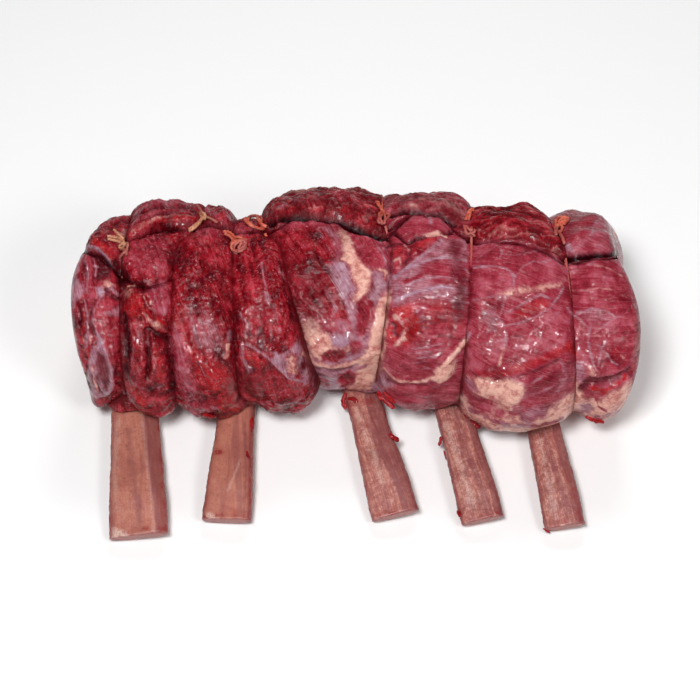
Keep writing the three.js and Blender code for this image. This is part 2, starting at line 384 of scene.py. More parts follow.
@dataclass
class MeatForm:
    """The main form of the tied meat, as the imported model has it, in millimetres."""

    lobes: tuple[Lobe, ...] = (
        Lobe(56, 45, 45, rough=0.6, veil=0.25, grain=80, folds=(
            Fold(((66, 256), (80, 249), (90, 248), (100, 252), (110, 261), (122, 278)), 4, 5, 1.6),)),
        Lobe(66, 55, 50, rough=1.0, veil=0.1, grain=75, folds=(
            Fold(((112, 246), (124, 242), (134, 235), (146, 228), (162, 224), (176, 222), (200, 228)), 5, 5, 2.0),
            Fold(((112, 270), (124, 275), (136, 281), (150, 284), (162, 281), (176, 275)), 3, 5, 1.6, 3.6, 0.4, 0.0))),
        Lobe(64.5, 49, 50, rough=0.9, veil=0.0, grain=70, folds=(
            Fold(((165, 236), (180, 236), (190, 230), (204, 222), (214, 220), (226, 224), (240, 232)), 5, 5, 2.0),)),
        Lobe(63, 40.5, 48, rough=0.9, veil=0.0, grain=80, folds=(
            Fold(((228, 232), (240, 231), (254, 229), (266, 231), (284, 240)), 4, 5, 1.5),)),
        Lobe(47, 66, 50, rough=0.75, veil=0.2, grain=60, folds=(
            Fold(((258, 232), (272, 223), (284, 216), (298, 213), (318, 212), (340, 214), (354, 220), (370, 228),
                  (396, 240)), 10, 10, 2.5, 4.4, 1.0, 1.0),)),
        Lobe(59, 60, 52, rough=0.3, veil=0.7, grain=8, folds=(
            Fold(((376, 232), (388, 226), (398, 219), (410, 212), (430, 212), (446, 217), (458, 228), (476, 238)),
                 6, 6, 2.0, bark=0.9),)),
        Lobe(75, 49, 53, rough=0.25, veil=0.8, grain=18, folds=(
            Fold(((462, 238), (476, 236), (490, 233.5), (504, 233.5), (520, 236.5), (536, 242.5), (550, 249),
                  (562, 257), (574, 266)), 9, 9, 2.5, 4.0, 1.0, 1.0),)),
        Lobe(67, 49, 46, rough=0.25, veil=0.8, grain=2, folds=(
            Fold(((552, 257), (572, 255), (586, 254), (600, 252), (612, 251), (628, 254)), 8, 8, 3.5, 4.0, 1.0, 0.1),)),
    )
    grooves: tuple[Groove, ...] = (
        Groove(-128.5, -127.5, 8, 4, -14.5, 2, 89),
        Groove(-100, -101, 9, 1.5, 0, 15, 63),
        Groove(-68, -65, 10, 6, 12, 0, 85),
        Groove(-43, -19, 9, 2, -7, -9, 67),
        Groove(21.5, 12, 6, 1.5, 10, -6, 69),
        Groove(64.5, 58.5, 6, 2.5, 13.5, 0, 80),
        Groove(115, 122, 6, 7, 0, -6, 78),
    )
    left_end: CutEnd = CutEnd(-157, 120, 12, 5)
    right_end: CutEnd = CutEnd(157, 150, 13, 5)
    drop: float = 53.0
    floor_height: float = 2.6
    end_shrink: float = 0.74
    end_dome: float = 3.0
    groove_turn: float = 55.0
    front_from: Pair = (201, 214)
    front_to: Pair = (290, 340)
    top_lean: Pair = (90, 62)
    back_lean: Pair = (290, 350)
    bulge: float = 2.2
    press: float = 1.6
    upper_roundness: float = 2.25
    lower_roundness: float = 2.8
    waves: tuple[tuple[float, float, int, float], ...] = (
        (1.1, 0.11, 3, 0.4), (0.8, -0.17, 5, 2.1), (0.6, 0.31, 7, 4.0))

    def section(self, angle: np.ndarray, front: float, back: float, up: float, down: float) -> np.ndarray:
        """Give the distance from the axis to a rounded section.

        Args:
            angle: Angles from the back over the top, in radians.
            front: Reach to the front.
            back: Reach to the back.
            up: Reach upwards.
            down: Reach downwards.

        Returns:
            The distance at each angle.
        """
        across = np.abs(np.cos(angle)) / np.where(np.cos(angle) > 0, back, front)
        rise = np.abs(np.sin(angle)) / np.where(np.sin(angle) > 0, up, down)
        power = np.where(np.sin(angle) > 0, self.upper_roundness, self.lower_roundness)
        return (across ** power + rise ** power) ** (-1 / power)

    def groove_x(self, index: int, angle: np.ndarray) -> np.ndarray:
        """Say where a groove runs along the roast at each angle.

        Args:
            index: The groove's number from the left, from 0.
            angle: Angles round the axis.

        Returns:
            The places along the roast.
        """
        groove = self.grooves[index]
        turned = np.degrees(angle) % 360
        aside = step(*self.front_from, turned) - step(*self.front_to, turned)
        swing = (1 + np.cos(angle - math.radians(self.groove_turn))) / 2
        lean = step(*self.top_lean, turned) + step(*self.back_lean, turned)
        return mix(groove.bottom, groove.top, swing) + groove.sidestep * aside + groove.lean * lean

    def groove_radius(self, index: int, angle: np.ndarray) -> np.ndarray:
        """Give the distance from the axis to the floor of a groove.

        Args:
            index: The groove's number from the left, from 0.
            angle: Angles round the axis.

        Returns:
            The distance at each angle.
        """
        left, right, groove = self.lobes[index], self.lobes[index + 1], self.grooves[index]
        return self.section(
            angle,
            (left.front + right.front) / 2 - groove.depth,
            (left.back + right.back) / 2 - groove.back_depth,
            (left.up + right.up) / 2 - groove.depth,
            AXIS_HEIGHT - self.floor_height,
        )

    def edge(self, index: int, angle: np.ndarray, on_right: bool) -> tuple[np.ndarray, np.ndarray]:
        """Give the place along the roast and the distance of one edge of a lobe.

        Args:
            index: The lobe's number from the left, from 0.
            angle: Angles round the axis.
            on_right: Whether it is the right edge.

        Returns:
            The places along the roast and the distances from the axis.
        """
        groove = index if on_right else index - 1
        if 0 <= groove < len(self.grooves):
            side = 1 if on_right else -1
            return self.groove_x(groove, angle) + side * self.press, self.groove_radius(groove, angle) - 2.0
        lobe = self.lobes[index]
        end = self.right_end if on_right else self.left_end
        from_full = np.sin(angle - math.radians(end.full_angle))
        taper = np.where(from_full > 0, end.lower_taper, end.top_taper) * from_full ** 2
        reach = self.section(angle, lobe.front, lobe.back, lobe.up, self.drop) * self.end_shrink
        return end.x - np.sign(end.x) * taper, reach

    def crown(self, index: int, angle: np.ndarray, x: np.ndarray) -> np.ndarray:
        """Give the distance from the axis to a lobe's crown, without its folds.

        Args:
            index: The lobe's number from the left, from 0.
            angle: Angles round the axis.
            x: Places along the roast.

        Returns:
            The distance at each angle.
        """
        lobe = self.lobes[index]
        radius = self.section(angle, lobe.front, lobe.back, lobe.up, self.drop)
        for size, along, around, phase in self.waves:
            radius = radius + size * np.sin(along * x + around * angle + phase)
        return radius

    def skin(self, index: int, share: np.ndarray, angle: np.ndarray) -> tuple[np.ndarray, np.ndarray, np.ndarray]:
        """Give a lobe's plain skin.

        Args:
            index: The lobe's number from the left, from 0.
            share: Share of the way from its left edge to its right one.
            angle: Angles round the axis.

        Returns:
            The places along the roast, the distances from the axis and how far the lobe swells there.
        """
        left_x, left_radius = self.edge(index, angle, False)
        right_x, right_radius = self.edge(index, angle, True)
        x = mix(left_x, right_x, share)
        swell = np.sqrt(np.maximum(1 - np.abs(2 * share - 1) ** self.bulge, 0))
        return x, mix(mix(left_radius, right_radius, share), self.crown(index, angle, x), swell), swell

    def fold_angles(self, index: int, fold: Fold, share: np.ndarray) -> np.ndarray:
        """Find the angle at which a fold crosses each line along a lobe.

        Args:
            index: The lobe's number from the left, from 0.
            fold: The fold.
            share: Share of the way from the lobe's left edge to its right one.

        Returns:
            The angle of the fold in degrees at each share.
        """
        line = np.array(fold.line)
        shares, angles = np.linspace(0.02, 0.98, 25), np.radians(np.linspace(30, 150, 121))
        found = []
        for one in shares:
            x, radius, _ = self.skin(index, np.full_like(angles, one), angles)
            across, down = VIEW.pixels(on_section(x, radius, angles))
            above = down - np.interp(across, line[:, 0], line[:, 1])
            found.append(np.degrees(np.interp(0, above, angles)))
        return np.interp(share, shares, found)


def on_section(x: np.ndarray, radius: np.ndarray, angle: np.ndarray) -> np.ndarray:
    """Place points by their distance along, from and round the meat's axis, in millimetres."""
    return np.stack([x, radius * np.cos(angle) + SHIFT_Y, AXIS_HEIGHT + radius * np.sin(angle)], 1)


def picture(tissue: Tissue, *places: Pixel, **more: float) -> Mark:
    """Make a mark from its tissue and its places in the picture."""
    return Mark(tissue, places, **more)


fat, silver, bright, dark, veil, crust, form = (partial(picture, tissue) for tissue in Tissue)


LEFT_END_MARKS: tuple[Mark, ...] = (
    # Dark flesh with brown bits over its back.
    dark((108, 236), (112, 225), (122, 219), (132, 222), width=2, strength=0.6, soft=1.2, relief=-1.2),
    form((112, 226), (122, 221), (130, 226), (124, 235), (114, 235), soft=3, relief=1.8),
    crust((118, 232), (126, 230), (131, 238), (126, 245), (119, 241), level=0.8, ragged=1.2),
    crust((92, 240), (100, 232), (108, 228), width=3, level=0.5, ragged=1.4),
    # The cut end: silver edge, window of dark muscle under a pale-rimmed flap, fascia and spongy bone.
    veil((72, 250), (100, 244), (120, 290), (118, 345), (100, 400), (72, 380), level=0.45, soft=3),
    silver((82, 252), (76, 270), (73, 290), (74, 306), width=3.4, level=0.6, ragged=1.4),
    silver((72, 284), (79, 279), (85, 283), (84, 296), (78, 303), (72, 300), level=0.7, ragged=1.2, relief=0.4),
    dark((92, 254), (103, 257), (113, 268), (110, 278), (97, 282), (89, 271), strength=0.78, relief=-1.6),
    veil((88, 258), (91, 270), (90, 284), (88, 298), (93, 310), width=2.6, relief=1),
    silver((86, 262), (88, 275), (87, 292), width=1.6, level=0.6, ragged=0.8, relief=0.5),
    silver((93, 258), (96, 268), (95, 276), width=1.3, level=0.7),
    bright((86, 240), (100, 238), (112, 250), (116, 266), (104, 255), (92, 249), level=0.8, relief=0.8),
    silver((87, 246), (97, 250), (106, 257), (113, 268), width=1.7, level=0.9, ragged=0.5, relief=0.9),
    dark((116, 262), (121, 276), (124, 290), width=4.5, strength=0.85, soft=1.6, relief=-3.5),
    silver((95, 287), (103, 284), (108, 290), (103, 297), (97, 299), ragged=0.9, relief=0.4),
    fat((102, 281), (107, 279), (113, 286), (110, 291), (104, 288), level=0.65, ragged=0.8, relief=0.8),
    bright((80, 300), (88, 302), (91, 330), (92, 362), (86, 366), (80, 340), level=0.7, ragged=1.5,
        relief=-0.6),
    fat((83, 308), (86, 322), width=1.8, level=0.55, ragged=1.4, relief=0.8),
    fat((84, 340), (88, 334), (91, 342), width=1.5, level=0.6, ragged=1.2, relief=0.7),
    dark((86, 312), (88, 326), width=1.6, strength=0.6, ragged=1.2, relief=-0.7),
    dark((83, 345), (86, 360), width=1.8, strength=0.6, ragged=1.2, relief=-0.7),
    bright((86, 350), (89, 356), width=2.6, relief=0.5),
    dark((95, 300), (91, 314), (93, 330), (99, 338), width=2, strength=0.7, soft=1.2, relief=-1.6),
    form((104, 306), (114, 306), (120, 330), (120, 372), (112, 388), (106, 350), (98, 326), soft=4, relief=2.6),
    silver((112, 288), (101, 296), (95, 308), (92, 320), (97, 332), (103, 344), (109, 358), width=1.5,
        level=0.6, ragged=0.4, relief=0.8),
    silver((104, 312), (112, 309), (121, 303), (121, 316), (112, 317), level=0.6, ragged=0.9, relief=0.3),
    silver((96, 332), (101, 333), (104, 342), (103, 349), (98, 344), ragged=0.6, relief=0.4),
    silver((92, 345), (98, 342), (105, 348), (112, 362), (115, 376), (113, 388), (108, 396), (99, 399),
        (92, 395), (86, 388), (88, 362), level=0.8, ragged=0.8, soft=0.5, relief=0.9),
    dark((97, 351), (104, 354), (109, 366), (110, 380), (107, 389), (101, 378), (97, 365), strength=0.55,
        ragged=0.5, soft=0.5, relief=-1.4),
    dark((88, 366), (87, 378), (90, 389), width=1.5, strength=0.8, relief=-1.3),
    dark((92, 372), (92, 386), width=1.2, strength=0.7, relief=-1),
    dark((97, 375), (99, 386), (103, 392), width=1.6, strength=0.8, relief=-1.3),
    fat((92, 366), (95, 380), (99, 392), width=1.2, level=0.8, relief=0.5),
    dark((125, 302), (126, 330), (128, 352), (127, 368), width=3.4, strength=0.75, soft=1.8, relief=-3.2),
    bright((118, 330), (121, 360), width=3, level=0.35, soft=2),
    silver((112, 290), (119, 296), (126, 292), width=2.2, level=0.7, relief=0.8),
    dark((78, 302), (81, 318), (80, 334), width=1.4, strength=0.7, relief=-1),
    silver((84, 300), (87, 316), (88, 332), (86, 346), width=1, level=0.8, relief=0.6),
    dark((106, 290), (116, 300), (122, 298), width=1.6, strength=0.7, relief=-1.4),
    silver((90, 366), (96, 376), (104, 392), width=1, level=0.9, relief=0.8),
    silver((88, 370), (92, 384), (98, 395), width=0.9, level=0.8, relief=0.6),
)

SECOND_LOBE_MARKS: tuple[Mark, ...] = (
    # Strips of red muscle over its back, and an orange-red one above a gap darkened with painted shadow.
    veil((133, 214), (150, 207), (175, 204), (200, 206), (215, 215), width=3.4, level=0.8, soft=1.2,
        relief=1.3),
    dark((134, 219), (150, 211), (172, 208), (196, 210), width=1.3, strength=0.7, relief=-1.4),
    veil((136, 223), (150, 215), (170, 212), (190, 212), width=2.6, level=0.6, relief=1.1),
    dark((132, 232), (142, 223), (156, 217), (176, 214.5), (194, 216), width=1.3, strength=0.75, relief=-1.4),
    bright((130, 236), (140, 228.5), (155, 222), (175, 218.5), (194, 219.5), width=3.8, ragged=0.6, relief=1.8),
    fat((132, 234), (142, 227), (156, 221), (175, 217.5), (192, 218.5), width=2.2, level=0.5, ragged=0.8,
        relief=0.4),
    dark((140, 237), (155, 230), (172, 228), (190, 229), (198, 227), width=2.6, strength=0.9, ragged=0.8,
        relief=-2.4),
    # Rough upper flap with painted sheen, a fan of fibres, an orange-red strip, two long bundles, painted shadow in
    # gaps.
    veil((126, 245), (150, 232), (168, 236), (170, 262), (160, 276), (136, 276), (122, 262), level=0.5,
        ragged=2, soft=3),
    dark((119, 274), (132, 283), (146, 287), (158, 284), (168, 279), width=3.5, strength=0.6, soft=1.6,
        relief=-2),
    dark((128, 280), (138, 283), (148, 288), (144, 291), (134, 289), strength=0.6, soft=0.9, relief=-1.6),
    veil((147, 284), (166, 280), (170, 300), (166, 318), (156, 312), (150, 298), level=0.85, relief=0.6),
    silver((152, 286), (157, 300), (164, 314), width=1.2, level=0.5, ragged=0.9, relief=0.5),
    silver((160, 284), (163, 300), (166, 314), width=1.1, level=0.5, ragged=0.9, relief=0.5),
    fat((144, 297), (148, 306), (151, 302), width=1.4, level=0.6, ragged=0.9, relief=0.5),
    bright((123, 298), (133, 293), (143, 298), (148, 312), (140, 318), (130, 316), (124, 310), ragged=0.9,
        soft=0.6, relief=1.2),
    bright((140, 306), (148, 310), (158, 317), (168, 322), (168, 333), (158, 330), (146, 322), ragged=0.7,
        soft=0.5, relief=2.2),
    fat((145, 311), (154, 317), (165, 324), (167, 331), (158, 328), (147, 320), level=0.5, ragged=0.9, soft=0.5,
        relief=0.6),
    fat((121, 290), (126, 286), (132, 288), (131, 296), (125, 300), level=0.6, ragged=0.6, relief=1.4),
    dark((150, 328), (160, 334), (170, 338), (171, 346), (162, 342), (152, 335), strength=0.8, ragged=0.7,
        soft=0.8, relief=-2.4),
    dark((168, 336), (171, 360), (172, 392), width=4, strength=0.8, soft=1.6, relief=-2),
    dark((147, 330), (149, 352), (147, 378), width=2.8, strength=0.85, soft=1.1, relief=-3.4),
    form((136, 322), (139, 350), (137, 378), width=9, soft=4, relief=1.8),
    form((158, 345), (160, 370), width=9, soft=4, relief=1.6),
    bright((152, 345), (163, 350), (165, 372), (157, 390), (151, 372), level=0.6, ragged=1.2, soft=1.4),
    silver((131, 322), (134, 345), (131, 366), width=1, level=0.55, ragged=0.8, relief=0.4),
    silver((143, 338), (150, 350), (156, 362), (154, 374), width=1.2, level=0.6, ragged=0.8, relief=0.4),
    fat((150, 352), (155, 366), (150, 378), width=1, level=0.5),
    silver((137, 330), (143, 338), width=5, level=0.3, ragged=1.6, soft=2),
    silver((134, 365), (142, 366), (141, 374), (134, 373), level=0.35, ragged=1.2, soft=1.6),
    bright((133, 388), (143, 400), width=5, level=0.85, ragged=1.2, soft=1.5),
    silver((130, 376), (138, 384), (148, 388), (160, 386), width=0.9, level=0.7, relief=0.5),
    silver((124, 392), (136, 404), (150, 408), width=0.9, level=0.6, relief=0.5),
    dark((150, 388), (160, 394), (168, 392), width=1.6, strength=0.7, relief=-1.4),
    # Painted glints at the flap's right edge.
    silver((158, 262), (167, 262), (169, 274), (162, 280), (154, 272), level=0.35, ragged=1.6, soft=2),
    fat((122, 287), (133, 286), width=1, level=0.5, ragged=1.2),
)

THIRD_LOBE_MARKS: tuple[Mark, ...] = (
    # Dark and rough above, with a grey sheen below the middle, and brighter towards the underside.
    silver((186, 300), (201, 302), (220, 316), (228, 338), (222, 356), (206, 358), (190, 346), (182, 322),
        level=0.42, ragged=2.5, soft=5),
    silver((192, 320), (206, 322), (214, 336), (208, 350), (196, 342), level=0.55, ragged=2.5, soft=3),
    veil((173, 322), (181, 326), (189, 352), (193, 376), (197, 402), (183, 398), (175, 378), (171, 348),
        level=0.95, ragged=1.8, soft=2),
    silver((176, 330), (181, 352), (187, 376), (192, 398), width=4, level=0.4, ragged=2, soft=2.5),
    silver((188, 314), (200, 310), (214, 316), width=1, level=0.5, ragged=0.9, relief=0.4),
    silver((190, 326), (204, 321), (218, 330), width=1, level=0.5, ragged=0.9, relief=0.4),
    silver((194, 338), (206, 333), (218, 342), width=1, level=0.5, ragged=0.9, relief=0.4),
    silver((197, 349), (208, 345), (219, 352), width=1, level=0.45, ragged=0.9, relief=0.4),
    silver((180, 396), (196, 400), (214, 402), width=1, level=0.5, ragged=0.9, relief=0.4),
    silver((202, 372), (214, 378), (228, 376), width=0.9, level=0.45, relief=0.3),
    silver((180, 366), (190, 372), (198, 386), width=0.9, level=0.45, relief=0.3),
    bright((188, 346), (214, 358), (232, 362), (236, 392), (222, 404), (206, 392), (192, 372), level=0.62,
        ragged=2, soft=3),
    bright((174, 318), (184, 330), (188, 346), width=5, level=0.55, ragged=1.6, soft=2.5),
    silver((230, 333), (229, 344), (225, 356), width=2.2, level=0.7, ragged=0.8, relief=0.5),
    fat((226, 356), (229, 343), width=1.8, level=0.9),
    silver((184, 298), (198, 296), (214, 299), width=0.9, level=0.35, relief=0.5),
    dark((184, 301), (200, 299), (216, 302), width=1.6, strength=0.2, ragged=0.8, relief=-0.6),
    dark((180, 247), (196, 243), (214, 246), (226, 250), width=1.4, strength=0.45, ragged=1.2, relief=-1),
    dark((184, 234), (200, 231), (216, 234), width=1.4, strength=0.45, relief=-1),
    silver((196, 360), (206, 374), (220, 384), width=0.8, level=0.5, ragged=0.8),
    silver((184, 380), (194, 390), (200, 400), width=0.8, level=0.5, ragged=0.8),
    silver((188, 404), (204, 408), (224, 408), width=2.2, level=0.6, relief=0.6),
    bright((219, 398), (238, 396), (240, 408), (222, 412), level=0.9, relief=0.8),
    fat((224, 404), (236, 404), width=1.6, level=0.4, ragged=1.2),
    veil((182, 398), (200, 402), (216, 412), (200, 416), (186, 410), level=0.7, ragged=1.2),
)

FOURTH_LOBE_MARKS: tuple[Mark, ...] = (
    # Dark and rough, with pale threads, silver skin at the lower right and a brighter underside.
    bright((238, 350), (252, 350), (268, 360), (262, 374), (246, 370), level=0.7, ragged=1.6, soft=2),
    bright((266, 372), (286, 384), (284, 398), (262, 396), level=0.35, ragged=2, soft=3),
    silver((262, 262), (264, 280), (268, 296), (276, 312), (280, 330), width=1.1, level=0.6, ragged=0.9,
        relief=0.3),
    silver((265, 292), (269, 296), (269, 305), (265, 301), level=0.95, ragged=0.4, relief=0.4),
    silver((272, 308), (278, 316), width=2, level=0.45, ragged=1.2),
    # Painted sheen on its belly.
    silver((243, 318), (256, 326), (266, 340), (256, 346), (245, 336), level=0.34, ragged=2.2, soft=2.5),
    silver((240, 312), (248, 324), (244, 338), width=1, level=0.6, ragged=0.9, relief=0.3),
    silver((241, 344), (242, 358), (250, 372), width=2.4, level=0.5, ragged=1.2, relief=0.3),
    silver((260, 346), (270, 351), (283, 352), (293, 345), (298, 336), (303, 352), (300, 372), (292, 381),
        (280, 372), (270, 362), level=0.85, ragged=0.8, relief=0.5),
    veil((262, 350), (272, 353), (272, 358), (264, 355), level=0.6, ragged=0.5, relief=-0.4),
    fat((286, 358), (292, 352), (298, 356), (297, 372), (289, 372), level=0.7),
    silver((246, 344), (260, 352), (274, 363), (288, 377), (303, 381), width=1.4, level=0.8, ragged=0.5,
        relief=0.7),
    dark((258, 356), (272, 366), (286, 381), width=1.2, strength=0.5, ragged=0.6, relief=-0.6),
    silver((302, 370), (309, 362), (313, 370), (311, 382), (303, 386), level=0.95, ragged=0.7, relief=0.5),
    silver((296, 382), (302, 392), (296, 404), width=1.6, level=0.5),
    silver((254, 404), (270, 406), (288, 404), (300, 396), width=1.4, level=0.55, ragged=1.2, relief=0.3),
    silver((256, 398), (272, 396), (286, 392), width=0.9, level=0.5, ragged=0.9),
    bright((238, 234), (252, 232), (264, 236), (262, 242), (244, 242), level=0.6, ragged=0.8, relief=0.5),
    silver((278, 268), (284, 278), width=2.4, level=0.4, ragged=1.4),
)

FIFTH_LOBE_MARKS: tuple[Mark, ...] = (
    # Dark red at the upper left, and fat and silver skin with windows of muscle over the rest.
    veil((330, 232), (392, 236), (392, 392), (310, 392), (304, 320), (348, 318), (342, 280), level=0.8,
        soft=1.5),
    silver((346, 300), (394, 284), (394, 396), (318, 396), (302, 350), (304, 322), (330, 334), (350, 330),
        level=0.86, ragged=1.2, soft=1.6),
    veil((276, 222), (300, 217), (345, 221), (330, 230), (300, 226), (282, 232), level=0.9, ragged=0.8,
        relief=0.8),
    silver((318, 230), (327, 244), (333, 258), width=1.2, level=0.5, ragged=0.8, relief=0.4),
    dark((316, 234), (326, 248), (332, 264), (338, 286), (344, 304), width=2.4, strength=0.22, ragged=0.5,
        relief=-1.4),
    silver((322, 228), (340, 224), (346, 236), (352, 250), (344, 256), (334, 246), level=0.6, ragged=1.4,
        soft=1.6),
    dark((330, 246), (342, 250), (348, 260), (340, 262), (332, 256), strength=0.4, ragged=0.6, relief=-0.9),
    silver((327, 262), (344, 256), (355, 270), (360, 292), (353, 306), (346, 310), (337, 296), (330, 282),
        level=0.85, ragged=1.5, soft=1.6),
    silver((324, 288), (330, 296), (336, 308), (332, 316), width=3, level=0.6, ragged=1.2, relief=0.4),
    dark((334, 288), (340, 298), (345, 306), width=1.2, strength=0.45, relief=-1.6),
    fat((339, 232), (346, 232), (352, 242), (357, 254), (364, 264), (373, 272), (372, 286), (364, 296),
        (356, 303), (353, 300), (359, 290), (354, 280), (351, 268), (346, 256), (341, 244), ragged=0.7,
        relief=1.2),
    fat((342, 258), (350, 262), width=1.4, level=0.8, relief=0.6),
    bright((354, 238), (366, 236), (381, 242), (389, 256), (388, 268), (376, 272), (366, 268), (358, 256),
        level=0.38, ragged=0.8, relief=0.9),
    silver((366, 237), (380, 242), (388, 254), width=1.1, level=0.7, relief=0.6),
    silver((377, 246), (384, 257), (387, 268), width=1.1, level=0.8, ragged=0.3, relief=0.4),
    silver((371, 271), (392, 268), (392, 292), (382, 301), (373, 295), level=0.8, ragged=1.2, soft=1.4),
    fat((379, 270), (386, 272), (385, 279), width=1.6, level=0.9, relief=0.4),
    dark((374, 287), (382, 290), (378, 296), width=1, strength=0.35),
    fat((392, 290), (390, 318), (388, 350), (380, 370), (368, 388), (346, 390), (352, 376), (358, 366),
        (366, 352), (371, 332), (376, 310), (381, 296), ragged=0.9, relief=1.1),
    veil((357, 304), (366, 296), (374, 302), (374, 318), (368, 332), (360, 338), (355, 332), (357, 318),
        level=0.5, ragged=0.6, relief=-0.7),
    bright((359, 318), (370, 312), (366, 328), level=0.3, soft=2),
    silver((348, 300), (355, 310), (354, 328), (358, 342), (366, 346), width=2.2, level=0.6, ragged=0.7,
        relief=0.5),
    silver((334, 318), (348, 320), (350, 330), (338, 330), level=0.55, ragged=1.2, relief=0.3),
    dark((322, 330), (334, 334), (346, 332), width=1.2, strength=0.4, relief=-0.7),
    fat((301, 321), (311, 318), (319, 321), (322, 331), (334, 338), (350, 337), (356, 344), (348, 350),
        (330, 349), (322, 358), (312, 354), (306, 340), level=0.9, relief=0.9),
    silver((332, 334), (348, 333), (352, 343), (340, 347), (331, 343), level=0.9, ragged=0.8, relief=0.3),
    veil((321, 353), (330, 348), (343, 348), (346, 355), (338, 360), (324, 359), level=0.3, ragged=0.6,
        relief=-0.9),
    dark((324, 352), (338, 350), width=1.2, strength=0.4),
    veil((350, 342), (360, 340), (362, 350), (353, 354), level=0.6, ragged=0.5, relief=-0.5),
    fat((304, 352), (314, 361), (330, 365), (350, 363), (366, 357), (382, 346), width=2.4, level=0.85,
        ragged=0.5, relief=0.8),
    dark((318, 367), (334, 369), (352, 367), width=1.5, strength=0.45, ragged=0.5, relief=-0.9),
    silver((308, 360), (318, 371), (334, 374), (352, 371), (366, 364), width=1.5, level=0.6, ragged=0.5,
        relief=0.4),
    dark((313, 370), (325, 374), (322, 379), (314, 376), strength=0.35, ragged=0.6, relief=-0.6),
    bright((319, 380), (326, 382), width=3.4, level=0.45, ragged=0.6),
    dark((321, 380), (325, 383), width=1.4, strength=0.5, relief=-0.5),
    veil((339, 374), (349, 369), (356, 375), (354, 384), (343, 387), (338, 381), level=0.45, ragged=0.6,
        relief=-0.9),
    silver((300, 268), (310, 272), (305, 284), (296, 292), width=0.8, level=0.45, ragged=1.4),
    silver((312, 276), (322, 288), width=0.8, level=0.45, ragged=1.2),
    # The flap folded over its back, above a black gap of painted shadow: a grey crust above raw flesh.
    dark((264, 221), (280, 213.5), (298, 211), (310, 212.5), (323, 211.5), (338, 212), (348, 216), (358, 222),
        (376, 231), (390, 240), (380, 241), (366, 237), (353, 233), (345, 229), (337, 224), (318, 221.5),
        (297, 220.5), (283, 221.5), (270, 226), ragged=0.3, soft=0.35, feather=1, relief=-2.6),
    bright((284, 207), (300, 204), (330, 203), (350, 206), (370, 214), (384, 224), (384, 230), (366, 224),
        (350, 216), (336, 211), (310, 211), (290, 211), level=0.6, ragged=0.5, soft=0.8),
    crust((268, 212), (290, 203), (320, 199), (352, 194), (376, 190), (350, 186), (300, 190), (272, 202),
        level=0.55, ragged=2, soft=2, relief=0.6),
    silver((276, 208), (300, 202), (330, 198), (352, 198), width=1.8, level=0.5, ragged=1.4, relief=0.7),
    silver((286, 199), (314, 194), (344, 191), width=1.2, level=0.45, ragged=1.2, relief=0.5),
    dark((290, 205), (316, 201), (340, 201), width=1, strength=0.5, relief=-0.7),
    bright((300, 206), (340, 204), (372, 214), (380, 222), (350, 218), (310, 210), level=0.3, ragged=1.5,
        soft=2),
)

